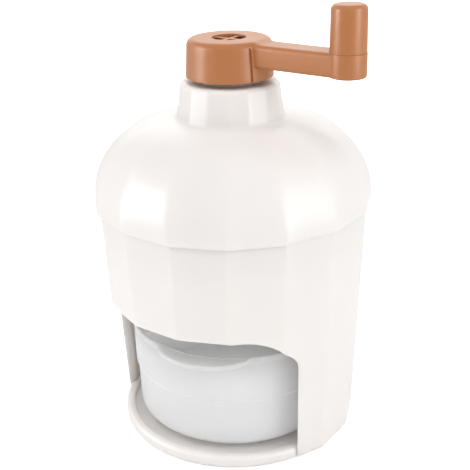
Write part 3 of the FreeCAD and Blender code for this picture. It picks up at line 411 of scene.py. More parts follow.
shell = {
    "foot": 0.8,
    "top": 129.9,
    "footRadius": 67.6,  # to a ridge
    "topRadius": 73.0,
    "wall": 2.8,
    "softness": 0.085,
    "footRound": 1.5,
    "topRound": 0.4,
    "openingHalf": 59.53,
    "openingFlare": 2.27,
    "openingTop": 77.7,
    "openingCorner": 19.0,
    "edgeReach": 1.9,  # how far the rounded edge of the opening reaches over the outside
    "edgeDepth": 1.3,  # and how far it reaches back at the top; at the sides it reaches a bit further
    "innerReach": 0.7,
    "ledge": (61.96, 120.0, 124.0, 5.0),  # radius, underside, top, height of the slope below
    "ledgeRoot": 0.9,  # how far the ledge goes into the wall
    "bosses": {
        "angles": (30, 90, 150),
        "posts": ((60.2, 3.0), (61.7, 2.7)),  # ring and radius, and the same of its root in the wall
        "foot": 4.2,
        "top": 24.0,
    },
}


def shellInradius(height):
    slope = (shell["topRadius"] - shell["footRadius"]) / (shell["top"] - shell["foot"])
    return flatShare * (shell["footRadius"] + slope * (height - shell["foot"]))


def shellOutside(turn, height):
    # The flats lean outwards as they rise, and the foot's edge is an arc.
    low = np.maximum(shell["foot"] + shell["footRound"] - height, 0)
    tuck = shell["footRound"] - np.sqrt(np.maximum(shell["footRound"] ** 2 - low ** 2, 0))
    return shellInradius(height) * facetShare(turn, shell["softness"]) - tuck


def shellInside(turn, height):
    return shellInradius(height) - shell["wall"] + 0 * turn


def onShell(turn, height, reachOf):
    # Turn is measured from the front, towards the crank's side.
    reach = reachOf(turn, height)
    return np.stack([reach * np.sin(turn), -reach * np.cos(turn), height + 0 * turn], -1)


def frontDepth(across, height, reachOf):
    # How far in front of the axis the surface stands at that place across, found by repeated substitution.
    depth = 0 * across + 30.0
    for _ in range(60):
        depth = np.sqrt(np.maximum(reachOf(np.arctan2(across, depth), height) ** 2 - across ** 2, 1))
    return depth


def openingEdge(share):
    # The right half of the opening's outline seen from the front, with its outward direction: the side for
    # shares 0 to 1, the rounded corner for 1 to 2, and the top edge for 2 to 3.
    corner = shell["openingCorner"]
    bend = shell["openingTop"] - corner
    half = shell["openingHalf"] + shell["openingFlare"] * bend / shell["openingTop"]
    side = shell["foot"] + (bend - shell["foot"]) * np.clip(share, 0, 1)
    angle = np.clip(share - 1, 0, 1) * math.pi / 2
    inward = np.clip(share - 2, 0, 1)
    across = half - corner + corner * np.cos(angle)
    across = across - np.where(share < 1, shell["openingFlare"] * (bend - side) / shell["openingTop"], 0)
    across = np.where(share > 2, (half - corner) * (1 - inward), across)
    height = np.where(share < 1, side, bend + corner * np.sin(angle))
    return across, height, np.cos(angle), np.sin(angle)


def edgePoints(share, offset, reachOf):
    across, height, sideways, upwards = openingEdge(share)
    across = across + offset * sideways
    height = height + offset * upwards
    depth = frontDepth(across, height, reachOf)
    return np.arctan2(across, depth), height


def conic(start, control, end, weight, count):
    # A rounded edge: a curve that leaves start towards control and arrives at end.
    share = np.linspace(0, 1, count)[:, None, None]
    parts = (1 - share) ** 2, 2 * weight * share * (1 - share), share ** 2
    return (parts[0] * start + parts[1] * control + parts[2] * end) / sum(parts)


def makeBodyShell():
    ridge = 2.5 * sideTurn  # the ridge that the opening's corner crosses
    mid = 3.5 * sideTurn  # the next ridge towards the back
    turns = facetAngles[facetAngles <= math.pi + 1e-6]
    overTurns = turns[turns <= ridge + 1e-6]
    besideTurns = turns[(turns >= ridge - 1e-6) & (turns <= mid + 1e-6)]
    rearTurns = turns[turns >= mid - 1e-6]
    trial = np.linspace(1, 3, 6000)  # along the corner and the top, to look up where each column meets them
    trialTurns, _ = edgePoints(trial, shell["edgeReach"], shellOutside)
    overShares = np.interp(overTurns, trialTurns[::-1], trial[::-1])
    ridgeShare = overShares[-1]
    footShares = (np.array([0, 0.04, 0.12, 0.3, 0.6, 1.0]) * shell["footRound"]) / (
        shell["openingTop"] - shell["openingCorner"] - shell["foot"])
    sideShares = np.concatenate([footShares, np.linspace(0.1, 1, 8), np.linspace(1, ridgeShare, 10)[1:]])
    spread = ((besideTurns - ridge) / (mid - ridge))[None]
    rise = np.linspace(0, 1, 14)[:, None] ** 1.3
    outerHeights = edgePoints(sideShares, shell["edgeReach"], shellOutside)[1]
    shares = np.concatenate([sideShares, overShares[::-1][1:]])
    patches = []
    bottomRows = []
    topRows = []
    edges = []
    for reachOf, offset, crest in (
        (shellOutside, shell["edgeReach"], shell["top"] - shell["topRound"]),
        (shellInside, shell["innerReach"], shell["top"]),
    ):
        sideTurns, sideHeights = edgePoints(sideShares, offset, reachOf)
        archTurns, archHeights = edgePoints(overShares, offset, reachOf)
        # beside the opening: rows run from its edge to the next ridge
        besideTurn = sideTurns[:, None] * (1 - spread) + mid * spread
        besideHeight = sideHeights[:, None] * (1 - spread) + outerHeights[:, None] * spread
        patches.append(onShell(besideTurn, besideHeight, reachOf))
        # above it: columns run up from its edge
        lowTurn = np.concatenate([archTurns, besideTurn[-1, 1:]])[None]
        lowHeight = np.concatenate([archHeights, besideHeight[-1, 1:]])[None]
        highTurn = np.concatenate([overTurns, besideTurns[1:]])[None]
        aboveTurn = lowTurn * (1 - rise) + highTurn * rise
        aboveHeight = lowHeight * (1 - rise) + crest * rise
        patches.append(onShell(aboveTurn, aboveHeight, reachOf))
        # round the back
        rearHeights = np.concatenate([besideHeight[:, -1], aboveHeight[1:, -1]])[:, None]
        rear = onShell(rearTurns[None] + 0 * rearHeights, rearHeights + 0 * rearTurns[None], reachOf)
        patches.append(rear)
        bottomRows.append((onShell(besideTurn[0], besideHeight[0], reachOf), rear[0]))
        topRows.append(np.concatenate([patches[-2][-1], rear[-1][1:]]))
        edges.append(onShell(*edgePoints(shares, offset, reachOf), reachOf))
    # the opening's edge, as a section carried along it
    across, height, sideways, upwards = openingEdge(shares)
    outerDepth = frontDepth(across, height, shellOutside)
    innerDepth = frontDepth(across, height, shellInside)
    depth = shell["edgeDepth"] * (1 + 0.35 * sideways)

    def behind(distance):
        return np.stack([across, -distance, height], -1)

    outerArc = conic(edges[0][None], behind(outerDepth)[None], behind(outerDepth - depth)[None], 1.5, 10)
    innerArc = conic(behind(innerDepth + 0.4)[None], behind(innerDepth)[None], edges[1][None], 1.0, 4)
    section = np.concatenate([outerArc, innerArc])
    patches.append(section)
    # the top edge that the lid's rim stands over, and the foot
    inset = shell["topRound"] * np.array([[1], [0.3], [0]])
    crestHeights = shell["top"] - inset * np.ones_like(turns)
    crestReach = shellOutside(turns, shell["top"]) - shell["topRound"] * np.array([[0], [0.3], [1]])
    rim = np.stack([crestReach * np.sin(turns), -crestReach * np.cos(turns), crestHeights], -1)
    rim[0] = topRows[0]
    patches.append(np.concatenate([rim, topRows[1][None]]))
    patches.append(np.stack([bottomRows[0][1], bottomRows[1][1]]))
    cap = np.concatenate([bottomRows[0][0][::-1], section[:, 0][1:], bottomRows[1][0][1:]])
    mirror = np.array([-1, 1, 1])
    patches = patches + [patch * mirror for patch in patches]
    wall = surfaceMesh("bodySkin", patches, [cap, cap * mirror])
    radius, under, top, slope = shell["ledge"]
    backLow = float(shellInside(0, under - slope)) + shell["ledgeRoot"]
    backHigh = float(shellInside(0, top)) + shell["ledgeRoot"]
    ledge = surfaceMesh("ledge", [latheGrid(roundedPath([
        (radius, under, 0.5), (backLow, under - slope), (backHigh, top), (radius, top, 0.4),
    ]), turnAngles(160))])
    pieces = [wall, ledge]
    bosses = shell["bosses"]
    for angle in np.radians(bosses["angles"]):
        for ring, radius in bosses["posts"]:
            foot, top = bosses["foot"], bosses["top"]
            path = roundedPath([(0, foot), (radius, foot), (radius, top, 0.6), (0, top)], closed=False)
            spot = (ring * math.cos(angle), ring * math.sin(angle))
            pieces.append(surfaceMesh("boss", [latheGrid(path, turnAngles(40), spot)], sharpAngle=60))
    return joinPieces(pieces)


dress(makeBodyShell(), "housing", "body_white", "body_shell")
print("body made")


# Base tray: a disc with a round lip that stands out between the legs.

tray = {
    "foot": 0.8,
    "lipRadius": 65.6,
    "lipTop": 6.8,
    "lipWide": 5.0,
    "lipRound": 2.0,
    "innerRadius": 63.3,  # where the lip is inside the body's wall
    "frontHalf": 59.2,
    "floor": 4.2,
    "padRadius": 44.0,
    "padTop": 7.2,
    "recess": (56.75, 2.0),  # for the foot pad: radius, and height of its roof
}


def makeTray():
    def lipSway(radius, height, angles):
        # The lip draws in where a line straight back from the leg's edge meets it, and stays in at the back.
        across = np.abs(np.cos(angles))
        wide = np.where(np.sin(angles) < 0, tray["frontHalf"] / np.maximum(across, 1e-3), tray["innerRadius"])
        reach = np.clip(wide, tray["innerRadius"], tray["lipRadius"])
        share = np.clip((radius - (tray["lipRadius"] - tray["lipWide"])) / tray["lipWide"], 0, 1)
        return (reach - tray["lipRadius"]) * share

    lip = tray["lipRadius"]
    inner = lip - tray["lipWide"]
    padSeat, padRoof = tray["recess"]
    path = roundedPath([
        (0, padRoof),
        (padSeat, padRoof),
        (padSeat, tray["foot"], 0.2),
        (lip, tray["foot"], 1.2),
        (lip, tray["lipTop"], tray["lipRound"]),
        (inner, tray["lipTop"], 1.3),
        (inner, tray["floor"], 0.8),
        (tray["padRadius"], tray["floor"], 0.8),
        (tray["padRadius"], tray["padTop"], 0.9),
        (0, tray["padTop"]),
    ], closed=False)
    corner = math.acos(tray["frontHalf"] / tray["lipRadius"])
    shoulder = math.acos(tray["frontHalf"] / tray["innerRadius"])
    notch = -np.linspace(shoulder, corner, 8)
    angles = mergedAngles(turnAngles(200), notch % fullTurn, (math.pi - notch) % fullTurn)
    return surfaceMesh("traySkin", [latheGrid(path, angles, sway=lipSway)])


dress(makeTray(), "housing", "body_white", "base_tray")
print("tray made")


# Lid: faceted dome and neck over a round hollow.

dome = {
    "seam": 130.2,
    "rimRadius": 74.0,  # radii of the faceted outside are to a ridge
    "rimHeight": 2.0,
    "rimRound": 0.7,
    "radius": 75.2,
    "top": 175.1,
    "arc": 42.5,
    "neckRadius": 25.8,
    "neckFoot": 28.3,
    "neckTop": 194.2,
    "neckRound": 2.2,
    "neckFillet": 3.3,
    "spigot": (66.2, 64.0, 126.9),  # outer and inner radius, lowest height
    "hollow": (71.26, 132.4, 172.1, 39.5),  # radius, floor of the web, roof, arc
    "neckHollow": 23.2,
    "plateUnder": 190.6,
    "bushHole": 13.05,
    "softness": {"rim": 0.07, "side": 0.07, "shoulder": 0.5, "neckFoot": 0.4, "neck": 0.1},
}


def makeDome():
    soft = dome["softness"]
    spigotOut, spigotIn, spigotLow = dome["spigot"]
    hollow, web, roof, hollowArc = dome["hollow"]
    rim = dome["rimRadius"] * flatShare
    side = dome["radius"] * flatShare
    neck = dome["neckRadius"] * flatShare
    neckFoot = dome["neckFoot"] * flatShare
    path = roundedPath([
        (dome["bushHole"], dome["neckTop"], 0.3, 0, soft["neck"]),
        (neck, dome["neckTop"], dome["neckRound"], 1, soft["neck"]),
        (neckFoot, dome["top"], dome["neckFillet"], 1, soft["neckFoot"]),
        (side, dome["top"], dome["arc"], 1, soft["shoulder"]),
        (side, dome["seam"] + dome["rimHeight"], 1.0, 1, soft["side"]),
        (rim, dome["seam"], dome["rimRound"], 1, soft["rim"]),
        (spigotOut, dome["seam"], 0.2, 0, soft["rim"]),
        (spigotOut, spigotLow, 0.55),
        (spigotIn, spigotLow, 0.4),
        (spigotIn, web, 0.5),
        (hollow, web, 1.0),
        (hollow, roof, hollowArc),
        (dome["neckHollow"], roof, 2.0),
        (dome["neckHollow"], dome["plateUnder"], 0.8),
        (dome["bushHole"], dome["plateUnder"], 0.3),
    ], step=4.5)
    return surfaceMesh("domeSkin", [latheGrid(path, facetAngles)])


dress(makeDome(), "lid", "body_white", "dome_cover")
print("lid made")


# Crank: hub with a crossed recess on top, arm, and the boss that carries the grip.

crank = {
    "hub": {
        "radius": 22.7,
        "topRadius": 21.6,
        "foot": 196.6,
        "top": 216.2,
        "round": 3.4,
        "footRound": 0.6,
        "recess": (8.7, 0.8),  # radius and depth
        "pocket": (7.4, 1.0, 5.4, 6.0),  # reach, half the rib, depth, corner
        "pocketLip": 0.18,  # how deep its mouth is straight
        "pocketTaper": 0.97,  # its floor over its mouth
        "hollow": (19.0, 211.6),  # radius and roof
        "tubeBoss": (15.0, 195.8),  # radius and foot
        "tubeHole": (9.56, 208.4),  # radius and roof
    },
    "crease": {"off": 9.5, "half": 0.62, "edge": 0.3, "depth": 1.3, "fade": (212.0, 214.2)},
    "arm": {
        "start": 12.0,
        "end": 66.0,
        "rootHalf": 8.1,
        "endHalf": 7.7,
        "foot": 203.6,
        "top": 215.1,
        "round": 2.2,
        "footRound": 1.8,
        "rise": 1.06,  # up to just under the hub's top
        "riseSpan": (18.2, 25.2),  # from the axis
        "channels": ((27.0, 41.0), (43.0, 57.0)),
        "channelHalf": 5.0,
        "channelDepth": 8.5,
        "channelRound": 1.5,
    },
    "boss": {
        "at": 68.5,
        "radius": 9.0,
        "foot": 203.55,
        "top": 215.1,
        "round": 0.1,
        "footRound": 0.7,
        "pin": (3.55, 5.05, 205.25),  # hole's radius, its head's radius and seat
    },
}


def hubAngles():
    # Even columns, with more beside the two creases.
    crease = crank["crease"]
    centre = math.asin(crease["off"] / crank["hub"]["radius"])
    near = centre + np.linspace(-0.075, 0.075, 25)
    return mergedAngles(turnAngles(144), near, fullTurn - near)


def hubSway(radius, height, angles):
    # A narrow groove on each side of the arm's root, cut straight in, which runs out under the rounded top.
    crease = crank["crease"]
    half, edge = crease["half"], crease["edge"]
    off = np.abs(np.abs(radius * np.sin(angles)) - crease["off"])
    groove = 1 - smoothStep(half - edge, half + edge * 0.4, off)
    front = (np.cos(angles) > 0) & (radius > crank["hub"]["topRadius"] - crank["hub"]["round"])
    fade = 1 - smoothStep(*crease["fade"], height)
    return np.where(front, -crease["depth"] * groove * fade, 0)


def makeHub():
    hub = crank["hub"]
    inside, roof = hub["hollow"]
    bossRadius, bossFoot = hub["tubeBoss"]
    tubeHole, tubeRoof = hub["tubeHole"]
    recess, recessDepth = hub["recess"]
    floor = hub["top"] - recessDepth
    angles = hubAngles()
    path = roundedPath([
        (recess, floor, 0.12),
        (recess, hub["top"], 0.3),
        (hub["topRadius"], hub["top"], hub["round"]),
        (hub["radius"], hub["foot"], hub["footRound"]),
        (inside, hub["foot"], 0.3),
        (inside, roof, 0.5),
        (bossRadius, roof, 0.5),
        (bossRadius, bossFoot, 0.3),
        (tubeHole, bossFoot, 0.3),
        (tubeHole, tubeRoof),
        (0, tubeRoof),
    ], closed=False, step=8)
    foot = np.linspace(0, 1, 7)[1:-1, None]
    side = np.argmax(path[:, 1] < hub["top"] - hub["round"] - 0.01)
    path = np.concatenate([path[:side], path[side - 1] * (1 - foot) + path[side] * foot, path[side:]])
    patches = [latheGrid(path, angles, sway=hubSway)]
    # Recess floor: each quarter of the disc surrounds one pocket, and a strip joins its outline to it.
    reach, rib, depth, corner = hub["pocket"]
    bend = np.linspace(0, 1, 13) * math.pi / 2
    caps = []
    for quarter in range(4):
        start = quarter * math.pi / 2
        arc = angles[(angles >= start - 1e-6) & (angles <= start + math.pi / 2 + 1e-6)]
        rim = latheGrid(path[:1], arc)[0]
        # pocket outline, in the quarter's own frame, matched to the rim's points
        loopPath = np.concatenate([
            np.stack([np.linspace(rib, reach, 6), np.full(6, rib)], -1)[:-1],
            np.stack([reach - corner + corner * np.cos(bend), reach - corner + corner * np.sin(bend)], -1),
            np.stack([np.full(6, rib), np.linspace(reach, rib, 6)], -1)[1:],
        ])
        spun = np.array([[math.cos(start), math.sin(start)], [-math.sin(start), math.cos(start)]])
        length = np.concatenate([[0], np.cumsum(np.linalg.norm(np.diff(loopPath, axis=0), axis=1))])
        at = np.linspace(0, length[-1], len(arc))
        outline = np.stack([np.interp(at, length, column) for column in loopPath.T], -1) @ spun
        level = np.full((len(arc), 1), floor)
        top = np.concatenate([outline, level], -1)
        lip = np.concatenate([outline, level - hub["pocketLip"]], -1)
        centre = np.array([[(reach + rib) / 2 * 0.93] * 2]) @ spun
        narrower = centre + (outline - centre) * hub["pocketTaper"]
        low = np.concatenate([narrower, level - depth], -1)
        patches.append(np.stack([rim, top]))
        patches.append(np.stack([top, lip, low]))
        caps.append(low[:-1])
        # the two triangles left between the rim's ends, the middle and the pocket's corner
        middle = np.array([0, 0, floor])
        patches.append(np.stack([np.stack([middle, rim[0]]), np.stack([top[0], top[0]])]))
        patches.append(np.stack([np.stack([rim[-1], middle]), np.stack([top[-1], top[-1]])]))
    return surfaceMesh("hub", patches, caps, sharpAngle=42)


def makeArm():
    arm = crank["arm"]
    # lines of points along the arm, closer together where it rises to the hub and at the channels' ends
    stations = [arm["start"], 16, 18, 19, 20, 21, 22, 23, 24, 25.5]
    bend = arm["channelRound"] * (1 - np.cos(np.linspace(0, math.pi / 2, 5)))
    for low, high in arm["channels"]:
        stations += [low - 1e-4, *(low + bend), (low + high) / 2, *(high - bend[::-1]), high + 1e-4]
    stations = np.array(stations + [60, 63, arm["end"]])
    half = np.interp(stations, [arm["start"], crank["boss"]["at"]], [arm["rootHalf"], arm["endHalf"]])
    top = arm["top"] + arm["rise"] * (1 - smoothStep(*arm["riseSpan"], stations)) ** 1.5
    # channel under the arm: its half width at each station, with rounded ends
    reach = np.zeros_like(stations)
    depth = np.zeros_like(stations)
    for low, high in arm["channels"]:
        inside = (stations > low - 1e-6) & (stations < high + 1e-6)
        edge = np.minimum(stations - low, high - stations)
        past = np.clip(arm["channelRound"] - edge, 0, arm["channelRound"])
        narrow = arm["channelRound"] - np.sqrt(np.maximum(arm["channelRound"] ** 2 - past ** 2, 0))
        reach = np.where(inside, arm["channelHalf"] - narrow, reach)
        depth = np.where(inside, arm["channelDepth"], depth)
    quarter = np.linspace(0, math.pi / 2, 8)[None]
    column = stations[:, None]

    def rail(across, height):
        across = np.broadcast_to(across, (len(stations), np.shape(across)[-1]))
        height = np.broadcast_to(height, across.shape)
        return np.stack([np.broadcast_to(column, across.shape), across, height], -1)

    soft, low = arm["round"], arm["footRound"]
    side, crest = half[:, None], top[:, None]
    topEdge = rail(side - soft + soft * np.sin(quarter), crest - soft + soft * np.cos(quarter))
    footEdge = rail(side - low + low * np.cos(quarter), arm["foot"] + low - low * np.sin(quarter))
    under = rail(
        np.stack([reach, reach, 0.5 * reach, 0 * reach], -1),
        np.stack([0 * depth, depth, depth, depth], -1) + arm["foot"],
    )
    crown = rail(np.stack([0 * half, (half - soft) * 0.5, (half - soft) * 0.85], -1), crest)
    rightSide = np.concatenate([crown, topEdge, footEdge, under], 1)
    mirror = np.array([1, -1, 1])
    leftSide = rightSide[:, ::-1] * mirror
    loop = np.concatenate([rightSide, leftSide[:, 1:]], 1)
    caps = [loop[0][:-1], loop[-1][:-1]]
    return surfaceMesh("arm", [loop], caps, sharpAngle=42)


def makeCrankBoss():
    boss = crank["boss"]
    pin, head, sink = boss["pin"]
    path = roundedPath([
        (pin, boss["top"], 0.1),
        (boss["radius"], boss["top"], boss["round"]),
        (boss["radius"], boss["foot"], boss["footRound"]),
        (head, boss["foot"], 0.15),
        (head, sink),
        (pin, sink),
    ])
    return surfaceMesh("boss", [latheGrid(path, turnAngles(96), (boss["at"], 0))], sharpAngle=42)


dress(joinPieces([makeHub(), makeArm(), makeCrankBoss()]), "crank", "crank_tan", "crank_arm")
print("crank made")


# Grip: a plain sleeve with a domed edge, closed on top, that turns on its pin.

grip = {
    "at": 68.5,
    "foot": 215.18,
    "top": 237.3,
    "radius": 8.85,
    "topRadius": 8.5,
    "round": 2.6,
    "footRound": 0.1,
    "bore": (3.56, 234.0),  # radius and roof
}


def makeGrip():
    bore, roof = grip["bore"]
    path = roundedPath([
        (0, roof),
        (bore, roof),
        (bore, grip["foot"], 0.2),
        (grip["radius"], grip["foot"], grip["footRound"]),
        (grip["topRadius"], grip["top"], grip["round"]),
        (0, grip["top"]),
    ], closed=False, step=8)
    crown = np.linspace(1, 0, 5)[1:-1, None]
    path = np.concatenate([path[:-1], path[-2] * crown + path[-1] * (1 - crown), path[-1:]])
    return surfaceMesh("gripSkin", [latheGrid(path, turnAngles(96), (grip["at"], 0))], sharpAngle=42)


dress(makeGrip(), "grip", "crank_tan", "grip_sleeve")
print("grip made")


# Ice cup: frosted, with a step in its wall, a bead round its rim and a crescent tab towards the front.

cup = {
    "back": -0.5,  # its axis, in front of the crank's
    "foot": 7.5,
    "top": 63.5,
    "wall": 1.6,
    "footRadius": 56.0,
    "footCorner": 4.5,
    "stepHeight": 35.8,
    "stepRadius": 56.6,
    "stepOut": 1.0,
    "topRadius": 57.9,
    "rim": (0.1, 0.7, 0.9),  # bead: how far out its middle lies, and its half widths across and up
    "footRing": (0.4, 2.5),  # height of the ring that it stands on, and its distance from the corner
    "tab": {
        "angle": -72.9,
        "radius": 31.5,
        "offset": 35.5,
        "across": 0.8,
        "up": 1.4,
        "drop": 0.6,
        "square": 0.55,
    },
}


def makeCup():
    tab = cup["tab"]
    tabAngle = math.radians(tab["angle"])
    angles = mergedAngles(turnAngles(180), tabAngle % fullTurn + np.radians(np.linspace(-44, 44, 133)))
    lean = (angles - tabAngle + math.pi) % fullTurn - math.pi
    # the tab's outline is a circle about a centre towards the front, a crescent beyond the cup's bead
    inside = tab["radius"] ** 2 - (tab["offset"] * np.sin(lean)) ** 2
    crescent = tab["offset"] * np.cos(lean) + np.sqrt(np.maximum(inside, 0))
    out, beadAcross, beadUp = cup["rim"]
    plain = cup["topRadius"] + out + beadAcross
    beyond = np.where(np.cos(lean) > 0, np.maximum(crescent - plain, 0), 0)
    share = smoothStep(0, 2.0, beyond)
    topRadius, top, wall = cup["topRadius"], cup["top"], cup["wall"]
    middle = (topRadius + out) * (1 - share) + (plain + beyond - tab["across"]) * share
    middle = np.maximum(middle, topRadius + out)
    halfAcross = beadAcross * (1 - share) + tab["across"] * share
    halfUp = beadUp * (1 - share) + tab["up"] * share
    level = top - beadUp - share * (tab["drop"] + tab["up"] - beadUp)
    # the bead's section is an ellipse, which gets squarer out on the tab
    bend = np.radians(np.linspace(-90, 90, 21))[:, None]
    power = 1 - (1 - tab["square"]) * share
    bead = (
        middle + halfAcross * np.cos(bend) ** power,
        level + halfUp * np.sign(np.sin(bend)) * np.abs(np.sin(bend)) ** power,
    )
    under = topRadius + 0 * angles, level - halfUp - 0.25
    fillet = topRadius + 0.25 + 0 * angles, level - halfUp
    shelf = topRadius + out * 0.9 + 0 * angles, level + halfUp
    lip = topRadius + out * 0.55 + 0 * angles, top - 0.12 + 0 * angles
    lipTop = topRadius + 0.0 * angles, top + 0 * angles
    ringHigh, ringIn = cup["footRing"]
    ringRadius = cup["footRadius"] - cup["footCorner"] - ringIn
    low = roundedPath([
        (0, cup["foot"] + ringHigh),
        (ringRadius, cup["foot"] + ringHigh, 0.4),
        (ringRadius + 0.5, cup["foot"], 0.3),
        (cup["footRadius"], cup["foot"], cup["footCorner"]),
        (cup["stepRadius"], cup["stepHeight"], 0.35),
        (cup["stepRadius"] + cup["stepOut"], cup["stepHeight"] + cup["stepOut"], 0.35),
        (topRadius - 0.02, top - 4.0),
    ], closed=False, step=9)
    high = roundedPath([
        (topRadius - 0.5, top, 0.2),
        (topRadius - wall, top, 0.5),
        (cup["stepRadius"] + cup["stepOut"] - wall, cup["stepHeight"] + cup["stepOut"] + wall / 2, 0.35),
        (cup["stepRadius"] - wall, cup["stepHeight"] + wall / 2, 0.35),
        (cup["footRadius"] - wall, cup["foot"] + wall, cup["footCorner"] - wall),
        (0, cup["foot"] + wall),
    ], closed=False, step=9)
    rimRows = [under, fillet, *zip(*bead), shelf, lip, lipTop]
    radii = np.stack([row[0] for row in rimRows])
    heights = np.stack([row[1] + 0 * angles for row in rimRows])
    centre = np.array([0, cup["back"], 0])

    def ring(radius, height):
        return np.stack([radius * np.cos(angles), radius * np.sin(angles), height + 0 * angles], -1) + centre

    rows = np.concatenate([
        latheGrid(low[:, :2], angles, (0, cup["back"])),
        ring(radii, heights),
        latheGrid(high[:, :2], angles, (0, cup["back"])),
    ])
    return surfaceMesh("cupSkin", [rows], sharpAngle=50)


dress(makeCup(), "cup", "cup_frosted", "ice_cup")
print("cup made")


# Pressure spring, made at one length: it hangs from the seat on the crank's tube, and in the real thing it is
# pushed together as the presser rises.

spring = {
    "foot": 94.95,
    "top": 184.55,
    "radius": 12.6,
    "wire": 0.9,
    "turns": 14,
    "closedPitch": 0.22,  # pitch where an end turn closes, over that of the turns between
    "rise": 38.0,
    "seat": 184.6,
}


def makeSpring():
    # A helix whose pitch grows from closed end turns to even turns between; a circle is carried along it.
    turns = spring["turns"]
    along = np.linspace(0, turns, turns * 40 + 1)
    least = spring["closedPitch"]
    pace = least + (1 - least) * smoothStep(0, 1, along) * smoothStep(0, 1, turns - along)
    climb = np.concatenate([[0], np.cumsum((pace[1:] + pace[:-1]) / 2)])
    low = spring["foot"] + spring["wire"]
    high = spring["top"] - spring["wire"]
    height = low + (high - low) * climb / climb[-1]
    angle = along * fullTurn
    line = np.stack([spring["radius"] * np.cos(angle), spring["radius"] * np.sin(angle), height], -1)
    ahead = np.gradient(line, axis=0)
    ahead /= np.linalg.norm(ahead, axis=1, keepdims=True)
    out = np.stack([np.cos(angle), np.sin(angle), 0 * angle], -1)
    up = np.cross(ahead, out)
    about = turnAngles(14)[None, :, None]
    tube = line[:, None] + spring["wire"] * (np.cos(about) * out[:, None] + np.sin(about) * up[:, None])
    return surfaceMesh("springCoil", [tube], [tube[0][:-1], tube[-1][:-1]], sharpAngle=60)


coil = dress(makeSpring(), "crank", "steel", "pressure_spring")
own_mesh(coil)
print("spring made")


# Stage, lights and camera.

studio = {
    "floorSize": 8.0,
    "floorGlow": (0.1, 0.35, 0.4, 1.0),  # from this distance to that, the glow goes from this to that
    "ambient": 0.76,
    "shadedSide": {"azimuth": 36, "elevation": 8, "range": (0.2, 0.95), "level": 0.65},  # gives less light
    "lamps": [
        # name, place in metres, aimed at, width, height, watts, seen by diffuse and by glossy rays
        # lowFill and bayFill stand in for the light that the real plastic lets through
        ("leftPanel", (-1.2, -0.6, 0.5), (0, 0, 0.12), 0.4, 1.3, 3.0, True, True),
        ("rightPanel", (1.3, 0.2, 0.5), (0, 0, 0.12), 0.4, 1.3, 5.0, True, True),
        ("backPanel", (-0.7, 1.0, 0.7), (0, 0, 0.16), 1.4, 0.8, 3.0, True, True),
        ("topPanel", (0.3, -0.3, 1.4), (0, 0, 0.16), 0.9, 0.9, 5.0, True, False),
        ("highFill", (0.44, -0.6, 0.6), (0, 0, 0.18), 0.5, 0.4, 0.5, True, False),
        ("lowFill", (-0.07, -0.34, 0.05), (0, -0.05, 0.035), 0.3, 0.07, 0.14, True, False),
        ("bayFill", (0, -0.01, 0.058), (0, -0.01, 0), 0.06, 0.06, 0.033, True, False),
        ("leftStrip", (-0.95, -0.95, 0.35), (0, 0, 0.2), 0.25, 0.9, 14.0, False, True),
        ("rightStrip", (1.2, -0.1, 0.35), (0, 0, 0.2), 0.25, 0.9, 8.0, False, True),
    ],
}


def makeFloor():
    half = studio["floorSize"] / 2
    mesh = bpy.data.meshes.new("floor")
    corners = [(-half, -half, 0), (half, -half, 0), (half, half, 0), (-half, half, 0)]
    mesh.from_pydata(corners, [], [(0, 1, 2, 3)])
    floor = bpy.data.objects.new("floor", mesh)
    bpy.context.scene.collection.objects.link(floor)
    material = bpy.data.materials.new("floorWhite")
    material.use_nodes = True
    tree = material.node_tree
    principled = tree.nodes["Principled BSDF"]
    principled.inputs["Base Color"].default_value = (0.92, 0.92, 0.92, 1)
    principled.inputs["Roughness"].default_value = 0.9
    principled.inputs["Specular IOR Level"].default_value = 0.1
    principled.inputs["Emission Color"].default_value = (1, 1, 1, 1)
    # For the camera alone the floor glows a little, and more further off, to end as white as the backdrop.
    place = addNode(tree, "TexCoord").outputs["Object"]
    distance = addNode(tree, "VectorMath", place, operation="LENGTH").outputs["Value"]
    lift = addNode(tree, "MapRange", distance, *studio["floorGlow"]).outputs[0]
    seen = addNode(tree, "LightPath").outputs["Is Camera Ray"]
    glow = addNode(tree, "Math", seen, lift, operation="MULTIPLY").outputs[0]
    tree.links.new(glow, principled.inputs["Emission Strength"])
    mesh.materials.append(material)


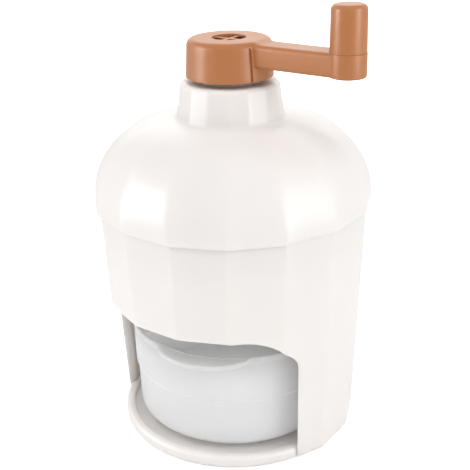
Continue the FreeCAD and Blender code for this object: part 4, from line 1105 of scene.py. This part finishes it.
def makeWorld():
    # White where it is seen, in mirrors and through the cup too, and dimmer as a source of light.
    world = bpy.data.worlds.new("studioWorld")
    bpy.context.scene.world = world
    world.use_nodes = True
    tree = world.node_tree
    tree.nodes.clear()
    rays = addNode(tree, "LightPath").outputs
    direct = addNode(tree, "Math", rays["Is Camera Ray"], rays["Is Transmission Ray"],
                     operation="MAXIMUM").outputs[0]
    seen = addNode(tree, "Math", direct, rays["Is Glossy Ray"], operation="MAXIMUM").outputs[0]
    strength = addNode(tree, "MapRange", seen, 0, 1, studio["ambient"], 1).outputs[0]
    # The side that the camera stands on is darker than the white walls round the rest.
    side = studio["shadedSide"]
    azimuth = math.radians(side["azimuth"])
    elevation = math.radians(side["elevation"])
    flat = math.cos(elevation)
    towards = math.sin(azimuth) * flat, -math.cos(azimuth) * flat, math.sin(elevation)
    direction = addNode(tree, "TexCoord").outputs["Generated"]
    facing = addNode(tree, "VectorMath", direction, towards, operation="DOT_PRODUCT").outputs["Value"]
    shaded = addNode(tree, "MapRange", facing, *side["range"], 1, side["level"],
                     interpolation_type="SMOOTHSTEP").outputs[0]
    shade = addMix(tree, direct, shaded, 1, data_type="FLOAT")
    level = addNode(tree, "Math", strength, shade, operation="MULTIPLY").outputs[0]
    background = addNode(tree, "Background", (1, 1, 1, 1), level)
    addNode(tree, "OutputWorld", background.outputs[0])


def makeLamps():
    for name, place, target, width, height, watts, diffuse, glossy in studio["lamps"]:
        light = bpy.data.lights.new(name, "AREA")
        light.shape = "RECTANGLE"
        light.size = width
        light.size_y = height
        light.energy = watts
        lamp = bpy.data.objects.new(name, light)
        bpy.context.scene.collection.objects.link(lamp)
        lamp.location = place
        lamp.visible_camera = False
        lamp.visible_diffuse = diffuse
        lamp.visible_glossy = glossy
        lamp.rotation_mode = "QUATERNION"
        lamp.rotation_quaternion = (Vector(target) - Vector(place)).to_track_quat("-Z", "Y")


view = {
    "place": (0.267332, -0.365125, 0.298320),
    "target": (0.000576, 0.000420, 0.107349),
    "roll": -1.357,
    "focal": 887.84,  # pixels
    "pictureWide": 470,  # pixels
    "sensorWide": 36,  # millimetres
}


def makeCamera():
    data = bpy.data.cameras.new("camera")
    data.sensor_width = view["sensorWide"]
    data.lens = view["focal"] / view["pictureWide"] * view["sensorWide"]
    data.clip_start = 0.01
    camera = bpy.data.objects.new("camera", data)
    bpy.context.scene.collection.objects.link(camera)
    ahead = (Vector(view["target"]) - Vector(view["place"])).to_track_quat("-Z", "Y").to_matrix().to_4x4()
    roll = Matrix.Rotation(math.radians(view["roll"]), 4, "Z")
    camera.matrix_world = Matrix.Translation(view["place"]) @ ahead @ roll
    bpy.context.scene.camera = camera


makeFloor()
makeWorld()
makeLamps()
makeCamera()
bpy.context.scene.view_settings.view_transform = "Standard"
print("stage made")
